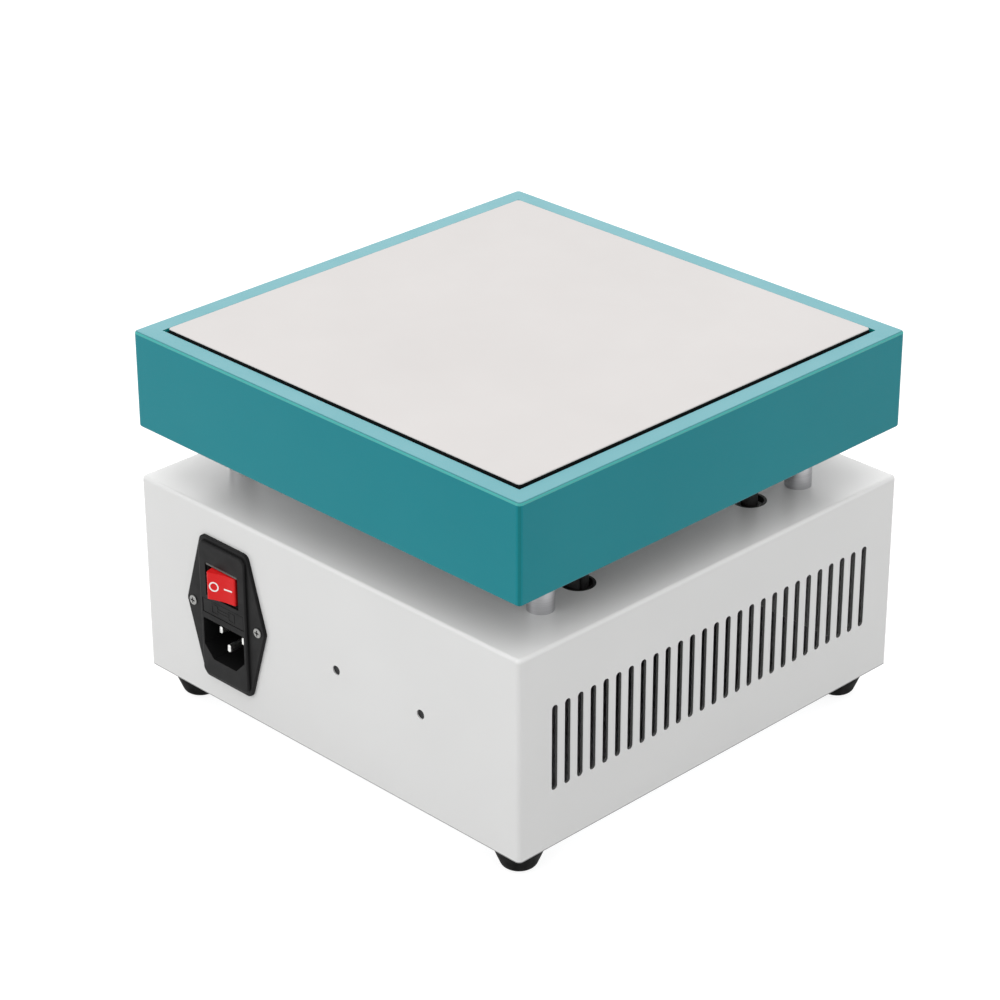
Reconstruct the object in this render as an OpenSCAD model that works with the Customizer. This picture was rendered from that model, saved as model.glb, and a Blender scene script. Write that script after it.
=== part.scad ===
// Bench preheater for circuit boards: a case on rubber feet holds the mains inlet, the relay and the
// temperature controller, and four posts carry a tray with the heating plate above it.
// Millimetres, +Z up. The origin is on the bench under the middle of the case. The front, with the
// controller, faces -Y. The rear, with the mains inlet, faces +Y.

/* [Case] */
// Width of the case, side to side, which the tray and its plate follow
case_w = 220; // [212:1:260]
// Depth of the case, front to rear, which the tray and its plate follow
case_d = 220; // [212:1:260]
// Height of the case without its feet
case_h = 88.5; // [84:0.5:120]
// Sheet thickness of the case and its base plate
case_wall = 1.2; // [0.8:0.1:1.6]
// Radius of the case's upright corners
case_r = 2; // [1.8:0.1:4]
// Radius of the case's top edges
case_edge_r = 1.5; // [0.5:0.1:1.8]
// Gap between the base plate and the case walls
base_gap = 0.4; // [0.2:0.1:0.6]
// Width of the welded tabs that hold the base plate
tab_w = 14; // [10:1:24]

/* [Feet] */
// Height of the rubber feet
foot_h = 13; // [9:0.5:20]
// Diameter of a foot at the case
foot_top_d = 26; // [16:0.5:27.5]
// Diameter of a foot at the bench
foot_bottom_d = 14.5; // [12:0.5:16]
// Radius of a foot's lower edge
foot_edge_r = 2; // [0.5:0.1:2.4]
// Distance of a foot's centre from the sides of the case
foot_inset = 14.5; // [14:0.5:25]
// Depth of the screw recess in a foot
foot_recess_h = 6; // [4:0.5:7]

/* [Vents] */
// Number of slots on each side
vent_count = 27; // [9:2:29]
// Distance between slots
vent_pitch = 7; // [5:0.1:7.4]
// Width of a slot
vent_w = 3.1; // [1.5:0.1:4]
// Length of a slot over its round ends
vent_l = 37.3; // [15:0.1:50]
// Height of the slots' lower ends above the lower edge of the case
vent_low = 25; // [15:0.5:32]

/* [Posts] */
// Diameter of the posts between the case and the tray
post_d = 11.2; // [9:0.1:14]
// Free height between the case and the tray
post_gap = 22.5; // [18:0.5:40]
// Distance of the posts from the sides of the tray floor
post_inset_x = 14.7; // [12:0.1:18]
// Distance of the posts from the front and rear of the tray floor
post_inset_y = 26.2; // [22:0.1:34]
// Thread diameter of the post screws
post_screw_d = 4; // [3:0.5:5]
// Length of the post screws under their heads
post_screw_l = 9; // [6:0.5:10]

/* [Leads] */
// Distance of the lead holes from the left side of the tray floor
lead_inset = 19.2; // [17:0.1:19.6]
// Distance between the heater and sensor lead holes
lead_span = 100; // [70:1:110]
// Diameter of the lead holes in the case
lead_hole_d = 14.5; // [14:0.5:18]
// Wall of the flush bushes in the lead holes
bush_wall = 1.2; // [0.8:0.1:1.4]
// Diameter of each of the two heater leads
heater_lead_d = 5; // [3:0.1:5.2]
// Diameter of the sensor lead's sleeve
sensor_lead_d = 7; // [4:0.1:9]
// Length of the leads inside the case
lead_tail = 18; // [14:1:24]

/* [Tray] */
// Distance of the tray's sides inside the sides of the case
tray_inset = 0; // [-3:0.5:4]
// Width of the tray's rim round its opening
rim_w = 8.5; // [6:0.5:11]
// Height of the tray
tray_h = 42.5; // [40:0.5:60]
// Sheet thickness of the tray
tray_wall = 1.5; // [1:0.1:1.8]
// Radius of the tray's upright corners
tray_r = 2; // [1.9:0.1:4]
// Radius of the tray's upper and lower edges
tray_edge_r = 1; // [0.4:0.1:1.8]
// Gap between the heating plate and the tray's rim
rim_gap = 1.5; // [0.8:0.1:2.5]
// Thickness of the tray floor
floor_t = 1.2; // [0.8:0.1:2]
// Gap between the tray floor and the opening that it drops in through
floor_gap = 0.3; // [0.1:0.1:0.8]
// Width of the tray's lower lip under the floor
lip_overlap = 4.7; // [4:0.1:5.4]

/* [Heating plate] */
// Thickness of the heating plate
plate_t = 12; // [9:0.5:14]
// Height of the plate above the tray's rim
plate_proud = 1; // [0.2:0.1:3]
// Radius of the plate's upright corners
plate_r = 1.5; // [1:0.1:4]
// Radius of the plate's upper edges
plate_edge_r = 0.5; // [0.2:0.1:0.9]
// Distance of the heating element from the edges of the plate
heater_margin = 24; // [22:0.5:40]
// Thickness of the heating element
heater_t = 3; // [1:0.1:4]
// Thickness of the clamp plate under the element
clamp_t = 2; // [1:0.1:3]
// Distance of the outer clamp screws from the middle
clamp_screw_span = 60; // [30:1:64]
// Distance of the insulation from the edges of the plate
insulation_margin = 26; // [25:0.5:40]
// Thickness of the insulation
insulation_t = 18; // [8:0.5:19]
// Diameter of the pillars that carry the plate
pillar_d = 10; // [8:0.5:11]
// Distance of the pillars from the edges of the plate
pillar_inset = 8.5; // [8.5:0.1:12]

/* [Mains inlet] */
// Distance of the inlet from the middle of the rear
inlet_x = 57.5; // [45:0.5:75]
// Height of the inlet's middle above the lower edge of the case
inlet_z = 43.3; // [36:0.1:50]
// Width of the panel cut-out
inlet_cut_w = 27.5; // [27:0.1:29]
// Height of the panel cut-out
inlet_cut_h = 47; // [46.5:0.1:49]
// Gap between the inlet and its cut-out
inlet_gap = 0.2; // [0.1:0.05:0.4]
// Width of the flange over its ears
flange_w = 48; // [46:0.5:52]
// Height of the flange
flange_h = 65.5; // [64:0.5:70]
// Width of the flange's upper and lower ends
flange_end_w = 30; // [28:0.5:36]
// Thickness of the flange
flange_t = 1.6; // [1.4:0.1:1.9]
// Corner radius of the flange
flange_r = 3; // [1.5:0.1:4]
// Width of the raised block
block_w = 28.4; // [27.4:0.1:30]
// Height of the raised block
block_h = 62; // [56:0.5:62]
// Corner radius of the raised block
block_r = 3; // [1:0.1:5]
// Height of the raised block above the case
block_proud = 2.9; // [2.8:0.1:3.4]
// Radius of the raised block's front edges
block_edge_r = 0.8; // [0.3:0.1:0.9]
// Depth of the inlet behind the case's rear face
inlet_depth = 26; // [22:0.5:34]
// Distance between the fixing screws
inlet_screw_span = 40; // [39:0.1:41]
// Thread diameter of the fixing screws
inlet_screw_d = 3; // [2.5:0.1:3.5]
// Height of the socket's middle from the inlet's middle
socket_z = -13.5; // [-13.5:0.1:-12.9]
// Width of the socket
socket_w = 25; // [24:0.1:25.4]
// Height of the socket
socket_h = 18; // [16.8:0.1:18.2]
// Size of the socket's lower chamfers
socket_chamfer = 5.5; // [4:0.1:6]
// Depth of the socket from the block's face
socket_depth = 20; // [18:0.5:22]
// Distance between the live and neutral pins
pin_span = 14; // [13:0.1:15]
// Height of the live and neutral pins above the socket's middle
pin_rise = 3.2; // [2:0.1:3.6]
// Distance of the earth pin below the socket's middle
earth_drop = 2.1; // [1.8:0.1:3]
// Thickness of a pin
pin_t = 2; // [1.6:0.1:2.2]
// Height of a pin's section
pin_h = 3.6; // [3.2:0.1:4.4]
// Distance of the live and neutral tips behind the block's face
pin_set = 4.1; // [3.5:0.1:6]
// Distance of the earth tip behind the block's face
earth_set = 2.3; // [2:0.1:3.4]
// Length of the solder tabs behind the inlet
pin_tail = 8; // [5:0.5:10]

/* [Rocker switch] */
// Height of the rocker's middle above the inlet's middle
rocker_z = 14.3; // [14.1:0.1:14.8]
// Length of the rocker's face
rocker_l = 14; // [12:0.1:14.4]
// Height of the rocker's opening
rocker_open_h = 12.8; // [11:0.1:13]
// Width of the ledge between the rocker's opening and the edge of its recess
recess_ledge = 1.2; // [0.8:0.1:1.3]
// Depth of the recess in the block's face
recess_d = 1; // [0.4:0.1:1.2]
// Gap between the rocker and its opening
rocker_gap = 0.3; // [0.2:0.05:0.5]
// Angle that the rocker leans to each side
rocker_tilt = 16; // [10:0.5:16]
// Depth of the rocker's pivot behind the block's face
rocker_pivot_set = 4.3; // [4.2:0.1:4.6]
// Height of the valley in the rocker's face above the pivot
rocker_valley = 5.5; // [5:0.1:5.8]
// Slope of each half of the rocker's face
rocker_slope = 8.5; // [4:0.5:10]
// Height of the rocker below its pivot
rocker_skirt = 2.5; // [1.6:0.1:3.5]
// Diameter of the rocker's pivot pins
rocker_pin_d = 2.4; // [1.6:0.1:2.6]
// Length of the rocker's pivot pins
rocker_pin_l = 1.2; // [0.8:0.1:1.3]

/* [Fuse drawer] */
// Height of the drawer's middle above the inlet's middle
drawer_z = 1.5; // [1.3:0.1:1.6]
// Width of the drawer's opening
drawer_open_w = 25.4; // [24:0.1:25.8]
// Height of the drawer's opening
drawer_open_h = 6.6; // [6.4:0.1:6.7]
// Gap between the drawer and its opening
drawer_gap = 0.2; // [0.1:0.05:0.3]
// Depth of the drawer
drawer_l = 16; // [15.8:0.1:18]
// Thickness of the drawer's face
drawer_face_t = 3; // [2:0.1:3.2]
// Diameter of the fuse
fuse_d = 5.2; // [5:0.1:5.3]
// Length of the fuse
fuse_l = 20; // [18:0.1:21]
// Gap between the fuse and its place in the drawer
fuse_gap = 0.1; // [0.05:0.05:0.2]

/* [Relay] */
// Distance of the relay from the middle of the rear
relay_x = -32.15; // [-60:0.05:-20]
// Height of the relay's middle above the lower edge of the case
relay_z = 43.7; // [32:0.1:56]
// Distance between the relay's mounting holes
relay_screw_span = 48.3; // [46:0.1:50]
// Thread diameter of the relay screws
relay_screw_d = 4; // [3:0.5:4]
// Length of the relay
relay_l = 60; // [58:0.5:64]
// Width of the relay
relay_w = 45; // [43:0.5:48]
// Thickness of the relay's metal base
relay_base_t = 3; // [2:0.1:4]
// Height of the relay's moulded body
relay_body_h = 20; // [16:0.5:24]
// Distance of the terminal screws from the relay's middle, along it
relay_terminal_x = 22; // [20:0.5:24]
// Distance of the terminal screws from the relay's middle, across it
relay_terminal_z = 14; // [13:0.5:16]
// Depth of the terminals below the relay's face
relay_step = 4; // [3:0.1:6]

/* [Controller] */
// Distance of the controller from the middle of the front
ctrl_x = 0; // [-40:1:40]
// Height of the controller's middle above the lower edge of the case
ctrl_z = 44; // [34:0.5:52]
// Width and height of the bezel
bezel_w = 48; // [47:0.5:56]
// Thickness of the bezel in front of the case
bezel_t = 7; // [6:0.1:9]
// Corner radius of the bezel
bezel_r = 2; // [1:0.1:4]
// Thickness of the bezel's face
bezel_face_t = 2.5; // [2:0.1:3]
// Width and height of the controller's body
ctrl_body_w = 44.6; // [44:0.1:46]
// Wall of the controller's body
ctrl_wall = 1.8; // [1.2:0.1:2.2]
// Depth of the controller's body behind the case's front face
ctrl_depth = 72; // [60:1:90]
// Gap between the controller's parts and what they fit in
ctrl_gap = 0.2; // [0.1:0.05:0.4]
// Width of the display lens
lens_w = 40; // [36:0.5:42]
// Height of the display lens
lens_h = 20; // [18:0.5:21]
// Thickness of the display lens
lens_t = 1.4; // [1:0.1:1.8]
// Height of the display lens above the middle of the bezel
lens_z = 9; // [8.5:0.1:10]
// Width of the ledge that the lens sits on
lens_ledge = 2; // [1.5:0.1:3]
// Width of a key
key_w = 7; // [5:0.1:8]
// Height of a key
key_h = 5; // [4:0.1:6]
// Distance between keys
key_pitch = 10; // [9.8:0.1:10.6]
// Distance of the keys below the middle of the bezel
key_drop = 13; // [12:0.1:14]
// Height of the keys above the bezel
key_proud = 0.8; // [0.6:0.1:2]
// Travel of a key
key_travel = 0.5; // [0.3:0.1:0.8]
// Depth of the clamp frame behind the case's front
clamp_frame_l = 12; // [8:1:20]

/* [Hardware] */
// Radial gap between a screw and its thread
thread_gap = 0.05; // [0.02:0.01:0.1]
// Radial gap between a screw and a plain hole
hole_gap = 0.2; // [0.1:0.05:0.3]
// Running gap round a pivot pin
pivot_gap = 0.05; // [0.03:0.01:0.1]
// Diameter of the small screws
small_screw_d = 3; // [2.5:0.1:3.2]
// Diameter of the wires
wire_d = 2.6; // [1.6:0.1:3]

/* [Hidden] */
$fn = 48;
eps = 1;
case_z0 = foot_h;
case_z1 = foot_h + case_h;
tray_z0 = case_z1 + post_gap;
tray_z1 = tray_z0 + tray_h;
floor_z0 = tray_z0 + tray_wall;
floor_z1 = floor_z0 + floor_t;
plate_z1 = tray_z1 + plate_proud;
plate_z0 = plate_z1 - plate_t;
heater_z0 = plate_z0 - heater_t;
clamp_z0 = heater_z0 - clamp_t;
base_z1 = case_z0 + case_wall;

// Screw heads and nuts, as multiples of the thread
head_ratio = 1.9;
head_h_ratio = 0.6;
nut_ratio = 1.8;
nut_h_ratio = 0.8;

// Cross recess, as multiples of the head
cross_l_ratio = 0.6;
cross_w_ratio = 0.16;
cross_depth_ratio = 0.55;

// Places in plan
signs = [-1, 1];
corners = [[-1, -1], [1, -1], [1, 1], [-1, 1]];
foot_x = case_w / 2 - foot_inset;
foot_y = case_d / 2 - foot_inset;
tray_w = case_w - 2 * tray_inset;
tray_d = case_d - 2 * tray_inset;
opening_w = tray_w - 2 * rim_w;
opening_d = tray_d - 2 * rim_w;
plate_w = opening_w - 2 * rim_gap;
plate_d = opening_d - 2 * rim_gap;
floor_w = opening_w - 2 * floor_gap;
floor_d = opening_d - 2 * floor_gap;
lip_w = floor_w - 2 * lip_overlap;
lip_d = floor_d - 2 * lip_overlap;
post_x = floor_w / 2 - post_inset_x;
post_y = floor_d / 2 - post_inset_y;
lead_x = -(floor_w / 2 - lead_inset);
lead_y = lead_span / 2;
pillar_x = plate_w / 2 - pillar_inset;
pillar_y = plate_d / 2 - pillar_inset;
heater_w = plate_w - 2 * heater_margin;
heater_d = plate_d - 2 * heater_margin;
insulation_w = plate_w - 2 * insulation_margin;
insulation_d = plate_d - 2 * insulation_margin;
base_w = case_w - 2 * (case_wall + base_gap);
base_d = case_d - 2 * (case_wall + base_gap);
base_r = max(0.3, case_r - case_wall - base_gap);

// Base plate tabs: one in the middle of each wall
tab_reach = tab_w / 2;
tab_spots = [[case_w / 2 - case_wall - tab_reach, 0], [0, case_d / 2 - case_wall - tab_reach],
             [-(case_w / 2 - case_wall - tab_reach), 0], [0, -(case_d / 2 - case_wall - tab_reach)]];
tab_screw_spare = 2;

// Feet fasteners
foot_screw_spare = 1;
foot_nut_h = small_screw_d * nut_h_ratio;
foot_screw_l = foot_h - foot_recess_h + case_wall + foot_nut_h + foot_screw_spare;

// Tray floor screws: two along each side
floor_screw_d = 2.5;
floor_screw_x = (floor_w + lip_w) / 4;
floor_screw_y = (floor_d + lip_d) / 4;
floor_screw_span = 40;
floor_screw_spots = [for (s = signs, t = signs) each [[s * floor_screw_x, t * floor_screw_span],
                                                      [t * floor_screw_span, s * floor_screw_y]]];

// Plate fasteners
plate_screw_d = 4;
plate_screw_bite = 7;
clamp_screw_bite = 6;
blind_spare = 1.5;
clamp_screw_spots = concat([[0, 0]], [for (c = corners) c * clamp_screw_span]);

// Sensor bolt under the plate
sensor_bolt_d = 6;
sensor_bolt_l = 7;
sensor_hex = 10;
sensor_hex_h = 4;

// Heater terminal tongue above the heater leads
tongue_w = 14;
tongue_past = 5;
lead_pair_gap = 0.2;
lead_offset = (heater_lead_d + lead_pair_gap) / 2;
floor_lead_gap = 1.2;
floor_lead_d = 2 * (heater_lead_d + floor_lead_gap);
bush_flange = 1.6;
bush_flange_h = 1.5;

// Inlet, in its own frame: y = 0 on the case's rear face, outward along +y
body_w = inlet_cut_w - 2 * inlet_gap;
body_h = inlet_cut_h - 2 * inlet_gap;
ear_x = flange_w / 2 - flange_r;
end_x = flange_end_w / 2 - flange_r;
end_z = flange_h / 2 - flange_r;
flange_corners = [[ear_x, 0], [end_x, end_z], [-end_x, end_z],
                  [-ear_x, 0], [-end_x, -end_z], [end_x, -end_z]];
socket_y0 = block_proud - socket_depth;
live_z = socket_z + pin_rise;
earth_z = socket_z - earth_drop;
pin_fit = 0.05;
inlet_screw_spare = 1.5;
inlet_screw_l = flange_t + case_wall + inlet_screw_d * nut_h_ratio + inlet_screw_spare;
rocker_pivot_y = block_proud - rocker_pivot_set;
rocker_rise = rocker_valley + rocker_l / 2 * tan(rocker_slope);
rocker_reach = rocker_l / 2 * cos(rocker_tilt) + rocker_rise * sin(rocker_tilt);
rocker_open_w = 2 * (rocker_reach + rocker_gap);
rocker_h = rocker_open_h - 2 * rocker_gap;
rocker_floor_gap = 1;
rocker_pocket_y0 = rocker_pivot_y - rocker_skirt - rocker_l / 2 * sin(rocker_tilt) - rocker_floor_gap;
pin_end_gap = 0.1;
rocker_bore_l = rocker_h + 2 * (rocker_pin_l + pin_end_gap);
drawer_w = drawer_open_w - 2 * drawer_gap;
drawer_h = drawer_open_h - 2 * drawer_gap;
drawer_y0 = block_proud - drawer_l;
drawer_end_gap = 0.4;
fuse_slot = fuse_d + 2 * fuse_gap;
fuse_bed_t = 0.6;
fuse_rib_t = 1;
fuse_y = block_proud - drawer_face_t - fuse_slot - fuse_rib_t - fuse_slot / 2;
fuse_z = drawer_z - drawer_h / 2 + fuse_bed_t + fuse_gap + fuse_d / 2;
fuse_cap_l = 5;
fuse_glass_set = 0.2;

// Relay, in the same kind of frame: y = 0 on the case's rear face
relay_y1 = -case_wall;
relay_mid_y = relay_y1 - relay_base_t;
relay_y0 = relay_mid_y - relay_body_h;
relay_notch_w = 12;
relay_screw_tip = 0.6;
relay_screw_l = relay_base_t + case_wall - relay_screw_tip;
relay_ledge_l = 13;
relay_terminal_bite = 6;
relay_terminal_y = relay_y0 + relay_step;
relay_bore_y1 = relay_terminal_y + relay_terminal_bite;

// Controller, in its own frame: y = 0 on the case's front face, outward along +y
ctrl_inner_w = ctrl_body_w - 2 * ctrl_wall;
bezel_back = bezel_t - bezel_face_t;
key_flange = 0.8;
key_flange_t = 1;
key_flange_gap = 0.1;
key_nub_d = 3;
key_nub_l = 0.8;
key_flange_y = bezel_back - key_flange_gap - key_flange_t;
key_back = key_flange_y - key_nub_l;
switch_w = 6;
switch_h = 3.4;
plunger_d = 3.4;
plunger_h = 0.8;
plunger_gap = 0.2;
board_t = 1.6;
board_y1 = key_back - key_travel - plunger_gap - plunger_h - switch_h;
board_y0 = board_y1 - board_t;
board_w = ctrl_inner_w - 2 * ctrl_gap;
boss_w = 4;
boss_l = 10;
digits_h = 8;
digits_w = 34;
digits_gap = 0.6;
digits_front_gap = 0.5;
cap_t = 3;
cap_plug_l = 8;
cap_groove_l = 4;
main_board_x = 8;
main_board_h = 34;
main_board_y0 = -ctrl_depth + cap_plug_l - cap_groove_l + ctrl_gap;
main_board_y1 = board_y0 - ctrl_gap;
terminal_x = 15;
terminal_pitch = 7;
terminal_rows = [for (k = [-2:2]) k * terminal_pitch];
terminal_bite = 5;
terminal_back_y = -ctrl_depth - cap_t;
clamp_frame_w = bezel_w + 2;

// Parts on the controller's main board
transformer = [16, 22, 20];
small_relay = [12, 18, 12];
capacitor_d = 10;
capacitor_h = 14;
part_gap = 2;
transformer_y = main_board_y0 + cap_groove_l + part_gap;
small_relay_y = transformer_y + transformer.y + part_gap;

// Earth stud on the base plate
earth_stud_d = 4;
earth_stud_l = 9;
earth_aside = 12;
earth_back = 24;
earth_x = inlet_x - earth_aside;
earth_y = case_d / 2 - inlet_depth - earth_back;

// Wire ends and bends
wire_end_gap = 0.3;
straight = 10;
wire_lift = 14;
earth_rise = 4;
sensor_sag = 8;
wire_low_z = case_z0 + wire_lift;
relay_back_y = case_d / 2 + relay_terminal_y - relay_screw_d * head_h_ratio;
tab_y = case_d / 2 - inlet_depth - pin_tail - wire_end_gap;
lead_end_z = case_z1 - lead_tail - wire_end_gap;
ctrl_back_y = -case_d / 2 - terminal_back_y + small_screw_d * head_h_ratio;
live_tab = [inlet_x + pin_span / 2, tab_y, case_z0 + inlet_z + live_z];
neutral_tab = [inlet_x - pin_span / 2, tab_y, case_z0 + inlet_z + live_z];
earth_tab = [inlet_x, tab_y, case_z0 + inlet_z + earth_z];

repeat = [1, 2, 3, 4];
function key_x(i) = (i - (len(repeat) + 1) / 2) * key_pitch;

// Shared shapes

// Section of a wall with a rounded upper outer edge: x = 0 on the corner's centre line, face at x = r
module edge_section(r, h, edge_r) {
  square([r, h - edge_r]);
  square([r - edge_r, h]);
  translate([r - edge_r, h - edge_r]) intersection() {
    circle(edge_r);
    square(edge_r);
  }
}

// Sweeps a section round a rectangle with round corners
module swept(w, d, r) {
  for (turn = [0, 90, 180, 270]) {
    along = turn % 180 == 0 ? d : w;
    across = turn % 180 == 0 ? w : d;
    rotate(turn) translate([across / 2 - r, 0, 0]) {
      rotate([90, 0, 0]) linear_extrude(along - 2 * r, center = true) children();
      translate([0, along / 2 - r, 0]) rotate_extrude(angle = 90) children();
    }
  }
}

// Centred block on z = 0
module block(size) {
  translate([-size.x / 2, -size.y / 2, 0]) cube(size);
}

// Block with its faces along y from y0 to y1, centred in x and z
module plug(w, h, y0, y1) {
  translate([-w / 2, y0, -h / 2]) cube([w, y1 - y0, h]);
}

module rounded_rect(w, h, r) {
  square([w - 2 * r, h], center = true);
  square([w, h - 2 * r], center = true);
  for (sx = signs, sy = signs) translate([sx * (w / 2 - r), sy * (h / 2 - r)]) circle(r);
}

// Slab with round corners and rounded upper edges
module rounded_slab(w, d, h, r, edge_r) {
  swept(w, d, r) edge_section(r, h, edge_r);
  block([w - 2 * r, d - 2 * r, h]);
}

// Flat outline standing in the xz plane, from y0 to y1
module upright(y0, y1) {
  translate([0, y1, 0]) rotate([90, 0, 0]) linear_extrude(y1 - y0) children();
}

// Round hole or rod along y, from y0 to y1
module rod_y(d, y0, y1) {
  translate([0, y1, 0]) rotate([90, 0, 0]) cylinder(d = d, h = y1 - y0);
}

// Pan-head screw with a cross recess: under side of the head on z = 0, thread downward
module screw(d, l) {
  head_d = d * head_ratio;
  head_h = d * head_h_ratio;
  cross_cut = [head_d * cross_l_ratio, head_d * cross_w_ratio, head_h];
  difference() {
    union() {
      translate([0, 0, -l]) cylinder(d = d, h = l);
      cylinder(d = head_d, h = head_h);
    }
    for (turn = [0, 90]) rotate(turn) translate([0, 0, head_h * (1 - cross_depth_ratio)]) block(cross_cut);
  }
}

module nut(d) {
  difference() {
    cylinder(d = d * nut_ratio / cos(30), h = d * nut_h_ratio, $fn = 6);
    translate([0, 0, -eps]) cylinder(d = d + 2 * thread_gap, h = d * nut_h_ratio + 2 * eps);
  }
}

function unit(v) = v / norm(v);

// Point at share t of a smooth curve through p
function curve_point(p, t) =
  let (i = min(floor(t), len(p) - 2), u = t - i,
       a = p[max(i - 1, 0)], b = p[i], c = p[i + 1], d = p[min(i + 2, len(p) - 1)])
  0.5 * (2 * b + (c - a) * u + (2 * a - 5 * b + 4 * c - d) * u * u + (3 * b - a - 3 * c + d) * u * u * u);

// Wire of diameter d that runs smoothly through the points
module wire(points, d) {
  sides = 8;
  steps = 5;
  last = (len(points) - 1) * steps;
  path = [for (k = [0:last]) curve_point(points, k / steps)];
  count = len(points);
  tangents = concat([unit(points[1] - points[0])],
    [for (k = [1:last - 1]) unit(path[k + 1] - path[k - 1])],
    [unit(points[count - 1] - points[count - 2])]);
  aside = unit([0.31, 0.47, 0.83]);
  ring = [for (k = [0:last])
    let (u = unit(cross(tangents[k], aside)), v = cross(tangents[k], u))
    for (s = [0:sides - 1]) path[k] + d / 2 * (cos(360 * s / sides) * u + sin(360 * s / sides) * v)];
  sheath = [for (k = [0:last - 1], s = [0:sides - 1])
    let (a = k * sides + s, b = k * sides + (s + 1) % sides)
    each [[a, b, b + sides], [a, b + sides, a + sides]]];
  caps = [[for (s = [sides - 1:-1:0]) s], [for (s = [0:sides - 1]) last * sides + s]];
  polyhedron(ring, concat(sheath, caps), convexity = 6);
}

// Places

module at_corners(x, y, z) {
  for (c = corners) translate([c.x * x, c.y * y, z]) children();
}

module at_spots(spots, z) {
  for (p = spots) translate([p.x, p.y, z]) children();
}

// Frame of the inlet: outward along +y from the rear of the case
module at_inlet() {
  translate([inlet_x, case_d / 2, case_z0 + inlet_z]) children();
}

module at_relay() {
  translate([relay_x, case_d / 2, case_z0 + relay_z]) children();
}

// Frame of the controller: outward along +y from the front of the case
module at_controller() {
  translate([ctrl_x, -case_d / 2, case_z0 + ctrl_z]) rotate(180) children();
}

// Case

module vent_slots() {
  for (s = signs, i = [0:vent_count - 1])
    translate([s * case_w / 2, (i - (vent_count - 1) / 2) * vent_pitch, case_z0 + vent_low + vent_l / 2])
      rotate([0, 90, 0]) linear_extrude(4 * case_wall, center = true) {
        square([vent_l - vent_w, vent_w], center = true);
        for (e = signs) translate([e * (vent_l - vent_w) / 2, 0]) circle(d = vent_w);
      }
}

module base_cover() {
  color("whitesmoke") difference() {
    union() {
      translate([0, 0, case_z0]) swept(case_w, case_d, case_r) difference() {
        edge_section(case_r, case_h, case_edge_r);
        translate([-eps, -eps]) square([case_r - case_wall + eps, case_h - case_wall + eps]);
      }
      translate([0, 0, case_z1 - case_wall]) block([case_w - 2 * case_r, case_d - 2 * case_r, case_wall]);
      for (p = tab_spots)
        translate([p.x, p.y, base_z1]) block([tab_w + (p.x == 0 ? 0 : case_wall),
                                               tab_w + (p.y == 0 ? 0 : case_wall), case_wall]);
    }
    vent_slots();
    at_spots(tab_spots, base_z1 - eps)
      cylinder(d = small_screw_d + 2 * thread_gap, h = case_wall + 2 * eps);
    at_inlet() {
      plug(inlet_cut_w, inlet_cut_h, -2 * case_wall, eps);
      for (s = signs) translate([s * inlet_screw_span / 2, 0, 0])
        rod_y(inlet_screw_d + 2 * hole_gap, -2 * case_wall, eps);
    }
    at_relay() for (s = signs) translate([s * relay_screw_span / 2, 0, 0])
      rod_y(relay_screw_d + 2 * thread_gap, -2 * case_wall, eps);
    at_controller() plug(ctrl_body_w + 2 * ctrl_gap, ctrl_body_w + 2 * ctrl_gap, -2 * case_wall, eps);
    at_corners(post_x, post_y, case_z1 - 2 * case_wall)
      cylinder(d = post_screw_d + 2 * hole_gap, h = 3 * case_wall);
    for (s = signs) translate([lead_x, s * lead_y, case_z1 - 2 * case_wall])
      cylinder(d = lead_hole_d, h = 3 * case_wall);
  }
}

module base_plate() {
  color("silver") difference() {
    translate([0, 0, case_z0]) linear_extrude(case_wall) rounded_rect(base_w, base_d, base_r);
    at_corners(foot_x, foot_y, case_z0 - eps)
      cylinder(d = small_screw_d + 2 * hole_gap, h = case_wall + 2 * eps);
    at_spots(tab_spots, case_z0 - eps)
      cylinder(d = small_screw_d + 2 * hole_gap, h = case_wall + 2 * eps);
    translate([earth_x, earth_y, case_z0 - eps])
      cylinder(d = earth_stud_d + 2 * hole_gap, h = case_wall + 2 * eps);
  }
}

module base_plate_screws() {
  color("dimgray") at_spots(tab_spots, case_z0)
    rotate([180, 0, 0]) screw(small_screw_d, 2 * case_wall + tab_screw_spare);
}

// One rubber foot, hollowed from below for its screw
module rubber_foot(i) {
  c = corners[i - 1];
  slope = atan2(foot_top_d / 2 - foot_bottom_d / 2, foot_h);
  arc_x = foot_bottom_d / 2 - foot_edge_r;
  steps = 6;
  arc = [for (k = [0:steps]) let (a = -90 + k * (90 - slope) / steps)
    [arc_x + foot_edge_r * cos(a), foot_edge_r + foot_edge_r * sin(a)]];
  color("#1c1c1c") translate([c.x * foot_x, c.y * foot_y, 0]) difference() {
    rotate_extrude() polygon(concat([[0, 0]], arc, [[foot_top_d / 2, foot_h], [0, foot_h]]));
    translate([0, 0, -eps])
      cylinder(d = small_screw_d * head_ratio + 2 * hole_gap, h = foot_recess_h + eps);
    cylinder(d = small_screw_d + 2 * hole_gap, h = foot_h + eps);
  }
}

module foot_screws() {
  color("silver") at_corners(foot_x, foot_y, foot_recess_h)
    rotate([180, 0, 0]) screw(small_screw_d, foot_screw_l);
}

module foot_nuts() {
  color("silver") at_corners(foot_x, foot_y, base_z1) nut(small_screw_d);
}

module earth_stud() {
  color("goldenrod") translate([earth_x, earth_y, case_z0]) {
    rotate([180, 0, 0]) screw(earth_stud_d, earth_stud_l);
    translate([0, 0, case_wall]) nut(earth_stud_d);
  }
}

// Mains inlet

module socket_outline(w, h, chamfer) {
  polygon([[-w / 2, h / 2], [w / 2, h / 2], [w / 2, chamfer - h / 2], [w / 2 - chamfer, -h / 2],
           [chamfer - w / 2, -h / 2], [-w / 2, chamfer - h / 2]]);
}

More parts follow.
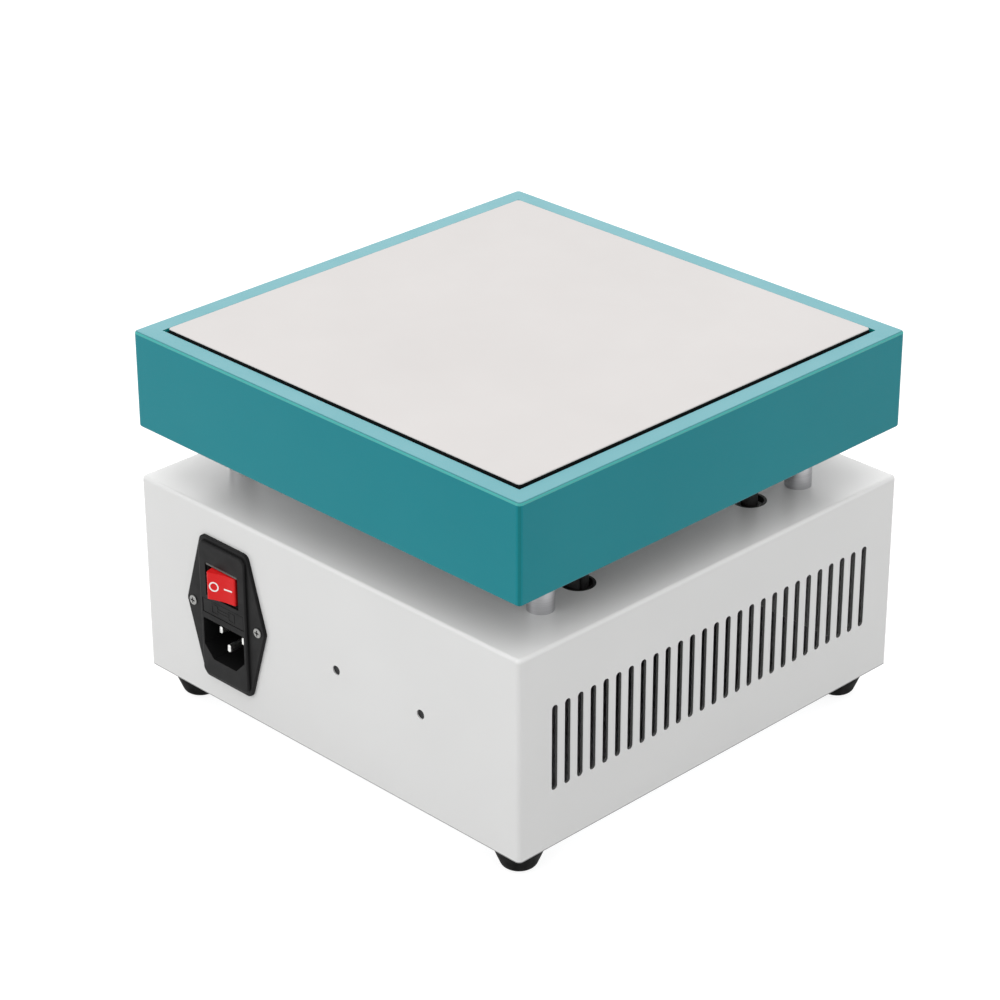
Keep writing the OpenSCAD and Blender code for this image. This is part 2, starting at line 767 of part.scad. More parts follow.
// Six-sided flange with round corners: straight sides that touch the corner circles
module flange_outline() {
  count = len(flange_corners);
  polygon([for (i = [0:count - 1])
    let (a = flange_corners[i], b = flange_corners[(i + 1) % count], along = unit(b - a))
    for (end = [a, b]) end + flange_r * [along.y, -along.x]]);
  for (c = flange_corners) translate(c) circle(flange_r);
}

// Section of a contact, left open at its tip end by the caller's lengths
module pin(x, z, y0, y1) {
  translate([x - pin_t / 2, y0, z - pin_h / 2]) cube([pin_t, y1 - y0, pin_h]);
}

module inlet_housing() {
  color("#303132") at_inlet() difference() {
    union() {
      upright(0, flange_t) flange_outline();
      rotate([-90, 0, 0]) rounded_slab(block_w, block_h, block_proud, block_r, block_edge_r);
      plug(body_w, body_h, -inlet_depth, eps);
    }
    translate([0, 0, socket_z]) upright(socket_y0, block_proud + eps)
      socket_outline(socket_w, socket_h, socket_chamfer);
    for (x = [-pin_span / 2, 0, pin_span / 2])
      translate([x, 0, x == 0 ? earth_z : live_z])
        plug(pin_t + 2 * pin_fit, pin_h + 2 * pin_fit, -inlet_depth - eps, socket_y0 + eps);
    translate([0, 0, rocker_z]) {
      plug(rocker_open_w, rocker_open_h, rocker_pocket_y0, block_proud + eps);
      plug(rocker_open_w + 2 * recess_ledge, rocker_open_h + 2 * recess_ledge,
           block_proud - recess_d, block_proud + eps);
      translate([0, rocker_pivot_y, 0])
        cylinder(d = rocker_pin_d + 2 * pivot_gap, h = rocker_bore_l, center = true);
    }
    translate([0, 0, drawer_z])
      plug(drawer_open_w, drawer_open_h, drawer_y0 - drawer_end_gap, block_proud + eps);
    for (s = signs) translate([s * inlet_screw_span / 2, 0, 0])
      rod_y(inlet_screw_d + 2 * hole_gap, -eps, flange_t + eps);
  }
}

module inlet_pins() {
  color("gainsboro") at_inlet() {
    for (s = signs) pin(s * pin_span / 2, live_z, -inlet_depth - pin_tail, block_proud - pin_set);
    pin(0, earth_z, -inlet_depth - pin_tail, block_proud - earth_set);
  }
}

module inlet_screws() {
  color("silver") at_inlet() for (s = signs)
    translate([s * inlet_screw_span / 2, flange_t, 0])
      rotate([-90, 0, 0]) screw(inlet_screw_d, inlet_screw_l);
}

module inlet_nuts() {
  color("silver") at_inlet() for (s = signs)
    translate([s * inlet_screw_span / 2, -case_wall, 0]) rotate([90, 0, 0]) nut(inlet_screw_d);
}

// Rocker about its upright pivot: its face is a shallow V, pressed in at -x
module rocker() {
  color("#d92a2a") at_inlet() translate([0, rocker_pivot_y, rocker_z]) rotate(rocker_tilt) {
    linear_extrude(rocker_h, center = true)
      polygon([[-rocker_l / 2, -rocker_skirt], [rocker_l / 2, -rocker_skirt], [rocker_l / 2, rocker_rise],
               [0, rocker_valley], [-rocker_l / 2, rocker_rise]]);
    cylinder(d = rocker_pin_d, h = rocker_h + 2 * rocker_pin_l, center = true);
  }
}

module fuse_drawer() {
  color("#2b2c2d") at_inlet() difference() {
    translate([0, 0, drawer_z]) plug(drawer_w, drawer_h, drawer_y0, block_proud);
    for (y = [fuse_y, fuse_y + fuse_slot + fuse_rib_t])
      translate([-fuse_l / 2 - fuse_gap, y - fuse_slot / 2, drawer_z - drawer_h / 2 + fuse_bed_t])
        cube([fuse_l + 2 * fuse_gap, fuse_slot, drawer_h]);
  }
}

module fuse() {
  color("lightgray") at_inlet() translate([0, fuse_y, fuse_z]) rotate([0, 90, 0]) {
    cylinder(d = fuse_d - 2 * fuse_glass_set, h = fuse_l, center = true);
    for (s = signs) translate([0, 0, s * (fuse_l - fuse_cap_l) / 2])
      cylinder(d = fuse_d, h = fuse_cap_l, center = true);
  }
}

// Relay

module relay_base() {
  color("silver") at_relay() difference() {
    plug(relay_l, relay_w, relay_mid_y, relay_y1);
    for (s = signs) translate([s * relay_screw_span / 2, 0, 0])
      rod_y(relay_screw_d + 2 * hole_gap, relay_mid_y - eps, relay_y1 + eps);
  }
}

module relay_body() {
  color("#26282b") at_relay() difference() {
    plug(relay_l, relay_w, relay_y0, relay_mid_y);
    for (s = signs) {
      translate([s * relay_l / 2, 0, 0])
        plug(relay_l - relay_screw_span + relay_notch_w, relay_notch_w, relay_y0 - eps, relay_mid_y + eps);
      translate([s * relay_l / 2, 0, 0])
        plug(2 * relay_ledge_l, relay_w + 2 * eps, relay_y0 - eps, relay_terminal_y);
      for (t = signs) translate([s * relay_terminal_x, 0, t * relay_terminal_z])
        rod_y(relay_screw_d + 2 * thread_gap, relay_terminal_y - eps, relay_bore_y1 + eps);
    }
  }
}

module relay_screws() {
  color("#3a3a3c") at_relay() for (s = signs)
    translate([s * relay_screw_span / 2, relay_mid_y, 0])
      rotate([90, 0, 0]) screw(relay_screw_d, relay_screw_l);
}

module relay_terminal_screws() {
  color("silver") at_relay() for (s = signs, t = signs)
    translate([s * relay_terminal_x, relay_terminal_y, t * relay_terminal_z])
      rotate([90, 0, 0]) screw(relay_screw_d, relay_terminal_bite);
}

// Temperature controller

module controller_case() {
  color("#2a2b2d") at_controller() difference() {
    union() {
      upright(0, bezel_t) rounded_rect(bezel_w, bezel_w, bezel_r);
      plug(ctrl_body_w, ctrl_body_w, -ctrl_depth, eps);
    }
    difference() {
      plug(ctrl_inner_w, ctrl_inner_w, -ctrl_depth - eps, bezel_back);
      for (c = corners) translate([c.x * (ctrl_inner_w - boss_w) / 2, 0, c.y * (ctrl_inner_w - boss_w) / 2])
        plug(boss_w + eps, boss_w + eps, board_y0 - boss_l, board_y0);
    }
    translate([0, 0, lens_z]) {
      plug(lens_w, lens_h, bezel_t - lens_t, bezel_t + eps);
      plug(lens_w - 2 * lens_ledge, lens_h - 2 * lens_ledge, bezel_back - eps, bezel_t + eps);
    }
    for (i = repeat) translate([key_x(i), 0, -key_drop])
      plug(key_w, key_h, bezel_back - eps, bezel_t + eps);
  }
}

module controller_lens() {
  color("#5a1416") at_controller() translate([0, 0, lens_z])
    plug(lens_w - 2 * ctrl_gap, lens_h - 2 * ctrl_gap, bezel_t - lens_t, bezel_t);
}

// One key: cap through the bezel, flange behind it and a nub over its switch
module key(i) {
  color("#8c8f92") at_controller() translate([key_x(i), 0, -key_drop]) {
    plug(key_w - 2 * ctrl_gap, key_h - 2 * ctrl_gap, key_flange_y, bezel_t + key_proud);
    plug(key_w + 2 * key_flange, key_h + 2 * key_flange, key_flange_y, key_flange_y + key_flange_t);
    rod_y(key_nub_d, key_back, key_flange_y + key_flange_t / 2);
  }
}

module display_board() {
  color("darkgreen") at_controller() plug(board_w, board_w, board_y0, board_y1);
}

module display_digits() {
  color("#1a1a1a") at_controller() for (s = signs)
    translate([0, 0, lens_z + s * (digits_h + digits_gap) / 2])
      plug(digits_w, digits_h, board_y1, bezel_back - digits_front_gap);
}

module key_switches() {
  color("#3a3a3a") at_controller() for (i = repeat) translate([key_x(i), 0, -key_drop]) {
    plug(switch_w, switch_w, board_y1, board_y1 + switch_h);
    rod_y(plunger_d, board_y1 + switch_h / 2, board_y1 + switch_h + plunger_h);
  }
}

// Main board on edge behind the display board, with its transformer, relay and capacitor
module controller_board() {
  color("darkgreen") at_controller() {
    translate([main_board_x, main_board_y0, -main_board_h / 2])
      cube([board_t, main_board_y1 - main_board_y0, main_board_h]);
    translate([main_board_x - transformer.x, transformer_y, -transformer.z / 2]) cube(transformer);
    translate([main_board_x - small_relay.x, small_relay_y, part_gap]) cube(small_relay);
    translate([main_board_x, small_relay_y + small_relay.y / 2, -part_gap - capacitor_d / 2])
      rotate([0, -90, 0]) cylinder(d = capacitor_d, h = capacitor_h);
  }
}

module terminal_cap() {
  color("#2a2b2d") at_controller() difference() {
    union() {
      plug(ctrl_body_w, ctrl_body_w, terminal_back_y, -ctrl_depth);
      plug(board_w, board_w, -ctrl_depth - eps, -ctrl_depth + cap_plug_l);
    }
    translate([main_board_x + board_t / 2, 0, 0])
      plug(board_t + 2 * ctrl_gap, main_board_h + 2 * ctrl_gap,
           -ctrl_depth + cap_plug_l - cap_groove_l, -ctrl_depth + cap_plug_l + eps);
    for (s = signs, z = terminal_rows) translate([s * terminal_x, 0, z])
      rod_y(small_screw_d + 2 * thread_gap, terminal_back_y - eps, terminal_back_y + terminal_bite + eps);
  }
}

module terminal_screws() {
  color("silver") at_controller() for (s = signs, z = terminal_rows)
    translate([s * terminal_x, terminal_back_y, z])
      rotate([90, 0, 0]) screw(small_screw_d, terminal_bite);
}

// Frame that holds the controller to the panel from behind
module clamp_frame() {
  hole = ctrl_body_w + 2 * ctrl_gap;
  color("#2a2b2d") at_controller() difference() {
    plug(clamp_frame_w, clamp_frame_w, -case_wall - clamp_frame_l, -case_wall);
    plug(hole, hole, -case_wall - clamp_frame_l - eps, eps);
  }
}

// Posts and leads

module post(i) {
  c = corners[i - 1];
  lower_bore = post_screw_l - case_wall + blind_spare;
  upper_bore = post_screw_l - floor_t + blind_spare;
  color("#9a9a9c") translate([c.x * post_x, c.y * post_y, 0]) difference() {
    translate([0, 0, case_z1]) cylinder(d = post_d, h = floor_z0 - case_z1);
    translate([0, 0, case_z1 - eps]) cylinder(d = post_screw_d + 2 * thread_gap, h = lower_bore + eps);
    translate([0, 0, floor_z0 - upper_bore])
      cylinder(d = post_screw_d + 2 * thread_gap, h = upper_bore + eps);
  }
}

module post_lower_screws() {
  color("silver") at_corners(post_x, post_y, case_z1 - case_wall)
    rotate([180, 0, 0]) screw(post_screw_d, post_screw_l);
}

module post_upper_screws() {
  color("silver") at_corners(post_x, post_y, floor_z1) screw(post_screw_d, post_screw_l);
}

// Flush bush in a lead hole, with its flange under the sheet
module lead_bush(s) {
  bush_d = lead_hole_d - 2 * thread_gap;
  color("#3c3c3c") translate([lead_x, s * lead_y, 0]) difference() {
    union() {
      translate([0, 0, case_z1 - case_wall]) cylinder(d = bush_d, h = case_wall);
      translate([0, 0, case_z1 - case_wall - bush_flange_h])
        cylinder(d = lead_hole_d + 2 * bush_flange, h = bush_flange_h);
    }
    translate([0, 0, case_z1 - case_wall - bush_flange_h - eps])
      cylinder(d = bush_d - 2 * bush_wall, h = case_wall + bush_flange_h + 2 * eps);
  }
}

// Two heater leads, side by side, from the case up to the element's terminal tongue
module heater_leads() {
  color("#0c0c0c") for (s = signs) translate([lead_x, lead_y + s * lead_offset, case_z1 - lead_tail])
    cylinder(d = heater_lead_d, h = heater_z0 - case_z1 + lead_tail);
}

module sensor_lead() {
  color("#0c0c0c") translate([lead_x, -lead_y, case_z1 - lead_tail])
    cylinder(d = sensor_lead_d, h = plate_z0 - sensor_hex_h - case_z1 + lead_tail);
}

// Tray

module tray_shell() {
  color("#2f8c92") translate([0, 0, tray_z0]) {
    swept(tray_w, tray_d, tray_r) difference() {
      translate([0, tray_h / 2]) for (m = [0, 1])
        mirror([0, m]) edge_section(tray_r, tray_h / 2, tray_edge_r);
      translate([-eps, tray_wall]) square([tray_r - tray_wall + eps, tray_h - 2 * tray_wall]);
    }
    linear_extrude(tray_wall) difference() {
      square([tray_w - 2 * tray_r, tray_d - 2 * tray_r], center = true);
      square([lip_w, lip_d], center = true);
      for (p = floor_screw_spots) translate(p) circle(d = floor_screw_d + 2 * thread_gap);
    }
    translate([0, 0, tray_h - tray_wall]) linear_extrude(tray_wall) difference() {
      square([tray_w - 2 * tray_r, tray_d - 2 * tray_r], center = true);
      square([opening_w, opening_d], center = true);
    }
  }
}

module tray_floor() {
  color("silver") difference() {
    translate([0, 0, floor_z0]) block([floor_w, floor_d, floor_t]);
    at_spots(floor_screw_spots, floor_z0 - eps)
      cylinder(d = floor_screw_d + 2 * hole_gap, h = floor_t + 2 * eps);
    at_corners(post_x, post_y, floor_z0 - eps)
      cylinder(d = post_screw_d + 2 * hole_gap, h = floor_t + 2 * eps);
    at_corners(pillar_x, pillar_y, floor_z0 - eps)
      cylinder(d = plate_screw_d + 2 * hole_gap, h = floor_t + 2 * eps);
    for (s = signs) translate([lead_x, s * lead_y, floor_z0 - eps])
      cylinder(d = floor_lead_d, h = floor_t + 2 * eps);
  }
}

module tray_floor_screws() {
  color("silver") at_spots(floor_screw_spots, floor_z1) screw(floor_screw_d, floor_t + tray_wall);
}

module insulation_board() {
  color("ivory") translate([0, 0, floor_z1]) block([insulation_w, insulation_d, insulation_t]);
}

module heating_plate() {
  color("#e2dfdb") difference() {
    translate([0, 0, plate_z0]) rounded_slab(plate_w, plate_d, plate_t, plate_r, plate_edge_r);
    at_corners(pillar_x, pillar_y, plate_z0 - eps)
      cylinder(d = plate_screw_d + 2 * thread_gap, h = plate_screw_bite + blind_spare + eps);
    at_spots(clamp_screw_spots, plate_z0 - eps)
      cylinder(d = plate_screw_d + 2 * thread_gap, h = clamp_screw_bite + blind_spare + eps);
    translate([lead_x, -lead_y, plate_z0 - eps])
      cylinder(d = sensor_bolt_d + 2 * thread_gap, h = sensor_bolt_l + blind_spare + eps);
  }
}

// Flat element with a terminal tongue that reaches over the heater leads
module heating_element() {
  tongue_l = -lead_x + tongue_past;
  color("#b9a27c") translate([0, 0, heater_z0]) difference() {
    union() {
      block([heater_w, heater_d, heater_t]);
      translate([-tongue_l, lead_y - tongue_w / 2, 0]) cube([tongue_l, tongue_w, heater_t]);
    }
    at_spots(clamp_screw_spots, -eps) cylinder(d = plate_screw_d + 2 * hole_gap, h = heater_t + 2 * eps);
  }
}

module clamp_plate() {
  color("gray") translate([0, 0, clamp_z0]) difference() {
    block([heater_w, heater_d, clamp_t]);
    at_spots(clamp_screw_spots, -eps) cylinder(d = plate_screw_d + 2 * hole_gap, h = clamp_t + 2 * eps);
  }
}

module clamp_screws() {
  color("silver") at_spots(clamp_screw_spots, clamp_z0)
    rotate([180, 0, 0]) screw(plate_screw_d, clamp_t + heater_t + clamp_screw_bite);
}

module plate_pillars() {
  color("seashell") at_corners(pillar_x, pillar_y, floor_z1) difference() {
    cylinder(d = pillar_d, h = plate_z0 - floor_z1);
    translate([0, 0, -eps]) cylinder(d = plate_screw_d + 2 * hole_gap, h = plate_z0 - floor_z1 + 2 * eps);
  }
}

module plate_screws() {
  color("silver") at_corners(pillar_x, pillar_y, floor_z0)
    rotate([180, 0, 0]) screw(plate_screw_d, plate_z0 - floor_z0 + plate_screw_bite);
}

// Bolt probe screwed into the plate from below
module thermocouple() {
  color("silver") translate([lead_x, -lead_y, plate_z0]) {
    translate([0, 0, -sensor_hex_h]) cylinder(d = sensor_hex / cos(30), h = sensor_hex_h, $fn = 6);
    cylinder(d = sensor_bolt_d, h = sensor_bolt_l);
  }
}

// Wiring inside the case

function relay_terminal(s, t) =
  [relay_x + s * relay_terminal_x, relay_back_y - wire_end_gap, case_z0 + relay_z + t * relay_terminal_z];
function ctrl_terminal(s, z) = [ctrl_x - s * terminal_x, ctrl_back_y + wire_end_gap, case_z0 + ctrl_z + z];
function heater_tail(s) = [lead_x, lead_y + s * lead_offset, lead_end_z];
function back_from(p, l) = p - [0, l, 0];
function below(p, l) = p - [0, 0, l];
function middle(p, q, up) = (p + q) / 2 + [0, 0, up];
function low_middle(p, q) = [(p.x + q.x) / 2, (p.y + q.y) / 2, wire_low_z];

// Live to the relay, relay to one heater lead and neutral to the other
module mains_wires() {
  live_in = relay_terminal(-1, -1);
  load_out = relay_terminal(-1, 1);
  color("saddlebrown") wire([live_tab, back_from(live_tab, straight / 2),
    below(back_from(live_tab, straight), straight),
    low_middle(back_from(live_tab, straight), back_from(live_in, straight)),
    back_from(live_in, straight), live_in], wire_d);
  color("black") wire([load_out, back_from(load_out, straight),
    middle(load_out, heater_tail(1), 0) - [0, straight, straight],
    below(heater_tail(1), straight), heater_tail(1)], wire_d);
  color("royalblue") wire([neutral_tab, back_from(neutral_tab, 2 * straight),
    low_middle(back_from(neutral_tab, 6 * straight), heater_tail(-1)),
    below(heater_tail(-1), 2 * straight), heater_tail(-1)], wire_d);
}

module earth_wire() {
  stud_top = [earth_x, earth_y, case_z0 + earth_stud_l + wire_end_gap];
  color("yellowgreen") wire([earth_tab, back_from(earth_tab, straight / 2),
    middle(earth_tab, stud_top, earth_rise) - [0, straight, 0],
    stud_top + [0, 0, straight / 2], stud_top], wire_d);
}

// Controller output to the relay's control terminals
module control_wires() {
  for (t = signs) {
    start = ctrl_terminal(1, t * terminal_pitch);
    finish = relay_terminal(1, t);
    color(t > 0 ? "firebrick" : "black") wire([start, start + [0, straight, 0],
      middle(start, finish, 0), back_from(finish, straight), finish], wire_d);
  }
}

module sensor_wire() {
  start = ctrl_terminal(1, terminal_rows[0]);
  finish = [lead_x, -lead_y, lead_end_z];
  color("dimgray") wire([start, start + [0, straight, 0],
    middle(start + [0, straight, 0], below(finish, straight), -sensor_sag),
    below(finish, straight), finish], wire_d);
}

base_cover();
base_plate();
base_plate_screws();
for (i = repeat) rubber_foot(i);
foot_screws();
foot_nuts();
earth_stud();
inlet_housing();
inlet_pins();
inlet_screws();
inlet_nuts();
rocker();
fuse_drawer();
fuse();
relay_base();
relay_body();
relay_screws();
relay_terminal_screws();
controller_case();
controller_lens();
for (i = repeat) key(i);
display_board();
display_digits();
key_switches();
controller_board();
terminal_cap();
terminal_screws();
clamp_frame();
for (i = repeat) post(i);
post_lower_screws();
post_upper_screws();
lead_bush(1);  // lead_bush_1
lead_bush(-1);  // lead_bush_2
heater_leads();
sensor_lead();
tray_shell();
tray_floor();
tray_floor_screws();
insulation_board();
heating_plate();
heating_element();
clamp_plate();
clamp_screws();
plate_pillars();
plate_screws();
thermocouple();
mains_wires();
earth_wire();
control_wires();
sensor_wire();
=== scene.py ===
# %% [markdown]
# A bench preheater for circuit boards. The solids were built in CAD and packed, and this lesson dresses them:
# it loads them as a fixed frame, sets up the photograph's camera and a plain studio, gives each solid the
# finish of the real part, and models by hand the pieces that need softer edges than the solids have.

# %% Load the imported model
import math

import bpy
from mathutils import Matrix, Vector


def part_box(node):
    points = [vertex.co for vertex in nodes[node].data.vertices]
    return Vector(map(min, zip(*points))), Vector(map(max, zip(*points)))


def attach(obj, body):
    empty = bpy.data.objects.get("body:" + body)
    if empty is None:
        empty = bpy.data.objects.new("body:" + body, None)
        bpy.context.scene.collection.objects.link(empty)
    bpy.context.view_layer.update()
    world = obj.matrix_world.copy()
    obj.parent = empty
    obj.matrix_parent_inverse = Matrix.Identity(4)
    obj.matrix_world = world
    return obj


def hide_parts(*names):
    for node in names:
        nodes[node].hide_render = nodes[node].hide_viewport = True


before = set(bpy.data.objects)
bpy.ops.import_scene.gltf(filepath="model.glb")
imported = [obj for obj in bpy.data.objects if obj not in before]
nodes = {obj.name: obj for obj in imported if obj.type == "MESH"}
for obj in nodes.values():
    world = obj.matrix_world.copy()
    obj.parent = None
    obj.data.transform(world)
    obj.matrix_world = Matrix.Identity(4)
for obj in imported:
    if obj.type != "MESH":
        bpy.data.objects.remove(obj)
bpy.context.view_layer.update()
mm = 0.001
scene = bpy.context.scene

# %% [markdown]
# The photograph looks down on the rear left corner through a long lens, so upright edges stay almost parallel.
# A camera could be turned by eye until the corners match. Here its angles, distance and focal length were
# worked out from the corners of the tray and the case, and its three axes are written as a matrix.

# %% Camera at the photograph's angle
azimuth, elevation, roll = (math.radians(a) for a in (225.281, 26.719, 0.12))
distance, aim_height, aim_shift = 1332.4 * mm, 90.05 * mm, 7.753 * mm
focal_px, picture_px, sensor_mm = 3224.6, 1000, 36
level = math.cos(elevation)
back = Vector((math.sin(azimuth) * level, -math.cos(azimuth) * level, math.sin(elevation)))
level_right = (-back).cross(Vector((0, 0, 1))).normalized()
level_up = back.cross(level_right)
right = math.cos(roll) * level_right - math.sin(roll) * level_up
up = back.cross(right)
aim = Vector((0, 0, aim_height)) - aim_shift * right
camera_data = bpy.data.cameras.new("photo_camera")
camera = bpy.data.objects.new("photo_camera", camera_data)
scene.collection.objects.link(camera)
axes = Matrix((right, up, back)).transposed().to_4x4()
camera.matrix_world = Matrix.Translation(aim + distance * back) @ axes
camera_data.sensor_width = sensor_mm
camera_data.lens = focal_px / picture_px * sensor_mm
scene.camera = camera
print("camera at", [round(v, 3) for v in camera.location], "lens", round(camera_data.lens, 1), "mm")

# %% [markdown]
# The studio is a white floor under a white sky, with soft boxes over it. A floor that is only lit would come
# out grey near the object, so what the camera sees of it is part glow and part lit surface: it is white where
# light falls and still takes the soft shadow under the feet.

# %% Floor that shows white and keeps the shadow
scene.view_settings.view_transform = "Standard"
floor_size = 12
bpy.ops.mesh.primitive_plane_add(size=floor_size)
floor = bpy.context.object
floor.name = "studio_floor"


def fill(node, **values):
    """Sets these inputs of a shader node. An underscore stands for a blank."""
    for name, value in values.items():
        node.inputs[name.replace("_", " ")].default_value = value
    return node


def new_node(tree, kind, **values):
    return fill(tree.nodes.new("ShaderNode" + kind), **values)


def link(output, target):
    target.id_data.links.new(output, target)


def split_rays(tree, bounced, seen, surface):
    """Shows one shader to the camera, reflections and clear parts, and the other to light that bounces on."""
    path = new_node(tree, "LightPath")
    seen_or_gloss, any_of = new_node(tree, "Math"), new_node(tree, "Math")
    seen_or_gloss.operation = any_of.operation = "MAXIMUM"
    choice = new_node(tree, "MixShader")
    link(path.outputs["Is Camera Ray"], seen_or_gloss.inputs[0])
    link(path.outputs["Is Glossy Ray"], seen_or_gloss.inputs[1])
    link(seen_or_gloss.outputs[0], any_of.inputs[0])
    link(path.outputs["Is Transmission Ray"], any_of.inputs[1])
    link(any_of.outputs[0], choice.inputs[0])
    link(bounced.outputs[0], choice.inputs[1])
    link(seen.outputs[0], choice.inputs[2])
    link(choice.outputs[0], new_node(tree, surface).inputs["Surface"])


floor_paper = bpy.data.materials.new("floor_paper")
floor_paper.use_nodes = True
tree = floor_paper.node_tree
tree.nodes.clear()
bounce = new_node(tree, "BsdfDiffuse", Color=(0.5, 0.5, 0.5, 1))
lit = new_node(tree, "BsdfDiffuse", Color=(0.3, 0.3, 0.3, 1))
glow = new_node(tree, "Emission", Strength=0.86)
shown = new_node(tree, "AddShader")
link(lit.outputs[0], shown.inputs[0])
link(glow.outputs[0], shown.inputs[1])
split_rays(tree, bounce, shown, "OutputMaterial")
floor.data.materials.append(floor_paper)
print("floor", floor_size, "m wide")

# %% [markdown]
# In a photographer's tent most light comes from above, so level faces look paler than upright ones. The sky
# could have one strength, but then the sides would be as pale as the plate. Here its strength grows with the
# height of the direction, while the camera and the reflections still see plain white.

# %% Sky that is brightest overhead
sky = bpy.data.worlds.new("white_sky")
scene.world = sky
sky.use_nodes = True
tree = sky.node_tree
tree.nodes.clear()
horizon, overhead, white = 0.25, 1.85, (1, 1, 1, 1)
light_sky = new_node(tree, "Background", Color=white)
height = new_node(tree, "SeparateXYZ")
fade = new_node(tree, "MapRange", To_Min=horizon, To_Max=overhead)
link(new_node(tree, "TexCoord").outputs["Generated"], height.inputs["Vector"])
link(height.outputs["Z"], fade.inputs["Value"])
link(fade.outputs["Result"], light_sky.inputs["Strength"])
seen_sky = new_node(tree, "Background", Color=white, Strength=1.0)
split_rays(tree, light_sky, seen_sky, "OutputWorld")
print("sky from", horizon, "at the horizon to", overhead, "overhead")

# %% [markdown]
# Two large lamps tell the upright faces apart: one lights the rear panel and one the far side of the plate. A
# small lamp would draw hard lines under the tray, and a large one blurs them. Both are weak, because the sky
# does most of the work and the white coat must not burn out.

# %% Soft boxes
object_middle = Vector((0, 0, 0.09))


def soft_box(name, place, size, power):
    """A square lamp that looks at the middle of the object."""
    lamp = bpy.data.lights.new(name, "AREA")
    lamp.size = size
    lamp.energy = power
    holder = bpy.data.objects.new(name, lamp)
    scene.collection.objects.link(holder)
    holder.location = place
    holder.rotation_euler = (object_middle - Vector(place)).to_track_quat("-Z", "Y").to_euler()


soft_box("box_left", (0.4, 1.7, 0.7), 1.2, 6)
soft_box("box_behind", (1.2, -1.2, 0.95), 1.1, 4)

# %% [markdown]
# Every finish starts from Blender's Principled shader. A flat colour looks like plastic film, so each one gets
# patterns on the object's own coordinates: one that shifts the colour a little, one that shifts the gloss, and
# a fine one that raises the grain. The helpers below make these patterns, and others pick a part of a surface.

# %% Helpers for finishes


def linear(r, g, b):
    """A colour as it is seen on a screen, as the shader needs it."""
    return tuple(v / 12.92 if v <= 0.04045 else ((v + 0.055) / 1.055) ** 2.4 for v in (r, g, b)) + (1.0,)


def shader_of(finish):
    return finish.node_tree.nodes["Principled BSDF"]


def start_finish(name, colour, roughness, metallic=0.0, specular=0.5):
    finish = bpy.data.materials.new(name)
    finish.use_nodes = True
    fill(shader_of(finish), Base_Color=linear(*colour), Roughness=roughness)
    fill(shader_of(finish), Metallic=metallic, Specular_IOR_Level=specular)
    return finish


def grain(finish, size, stretch=(1, 1, 1), detail=2.0):
    """Noise with features of about that size in millimetres, drawn out along an axis where stretch is small."""
    tree = finish.node_tree
    place = new_node(tree, "TexCoord")
    mapping = new_node(tree, "Mapping", Scale=stretch)
    noise = new_node(tree, "TexNoise", Scale=1 / (size * mm), Detail=detail)
    link(place.outputs["Object"], mapping.inputs["Vector"])
    link(mapping.outputs["Vector"], noise.inputs["Vector"])
    return noise.outputs["Fac"]


def pattern_from(finish, source, how):
    """Grain of this size, or the pattern itself where it was made before."""
    return grain(finish, source, **how) if isinstance(source, (int, float)) else source


noise_low, noise_high = 0.3, 0.7


def shift_colour(finish, source, dark, light, **how):
    pattern = pattern_from(finish, source, how)
    tree = finish.node_tree
    ramp = new_node(tree, "ValToRGB")
    ramp.color_ramp.elements[0].position = noise_low
    ramp.color_ramp.elements[1].position = noise_high
    ramp.color_ramp.elements[0].color = linear(*dark)
    ramp.color_ramp.elements[1].color = linear(*light)
    link(pattern, ramp.inputs["Fac"])
    link(ramp.outputs["Color"], shader_of(finish).inputs["Base Color"])


def map_range(pattern, from_low, from_high, low, high, target):
    """Leads a pattern to a shader input, with its range changed."""
    tree = target.id_data
    span = new_node(tree, "MapRange", From_Min=from_low, From_Max=from_high, To_Min=low, To_Max=high)
    link(pattern, span.inputs["Value"])
    link(span.outputs["Result"], target)


def shift_gloss(finish, source, low, high, **how):
    pattern = pattern_from(finish, source, how)
    map_range(pattern, noise_low, noise_high, low, high, shader_of(finish).inputs["Roughness"])


def raise_grain(finish, source, height, strength, **how):
    pattern = pattern_from(finish, source, how)
    tree = finish.node_tree
    bump = new_node(tree, "Bump", Distance=height * mm, Strength=strength)
    link(pattern, bump.inputs["Height"])
    link(bump.outputs["Normal"], shader_of(finish).inputs["Normal"])


def place_in(finish):
    """The three object coordinates as numbers."""
    tree = finish.node_tree
    split = new_node(tree, "SeparateXYZ")
    link(new_node(tree, "TexCoord").outputs["Object"], split.inputs["Vector"])
    return split.outputs["X"], split.outputs["Y"], split.outputs["Z"]


def math_step(kind, first, second=None):
    """One arithmetic step between two patterns, or a pattern and a number."""
    tree = first.id_data
    step = new_node(tree, "Math")
    step.operation = kind
    link(first, step.inputs[0])
    if isinstance(second, float):
        step.inputs[1].default_value = second
    elif second:
        link(second, step.inputs[1])
    return step.outputs[0]


def size_of(value):
    return math_step("ABSOLUTE", value)


def below(value, limit):
    return math_step("LESS_THAN", value, limit)


def above(value, limit):
    return math_step("GREATER_THAN", value, limit)


def both(first, second):
    return math_step("MULTIPLY", first, second)


def cover_part(finish, where, colour):
    """Lays another colour over the part of the surface where the pattern is 1."""
    tree = finish.node_tree
    base = shader_of(finish).inputs["Base Color"]
    under = base.links[0].from_socket
    blend = new_node(tree, "Mix")
    blend.data_type = "RGBA"
    link(where, blend.inputs["Factor"])
    link(under, blend.inputs["A"])
    blend.inputs["B"].default_value = linear(*colour)
    link(blend.outputs["Result"], base)


def dress(finish, *names):
    """Puts a finish on these solids."""
    for name in names:
        slots = nodes[name].data.materials
        slots.clear()
        slots.append(finish)
    print(finish.name, "on", len(names), "solids")


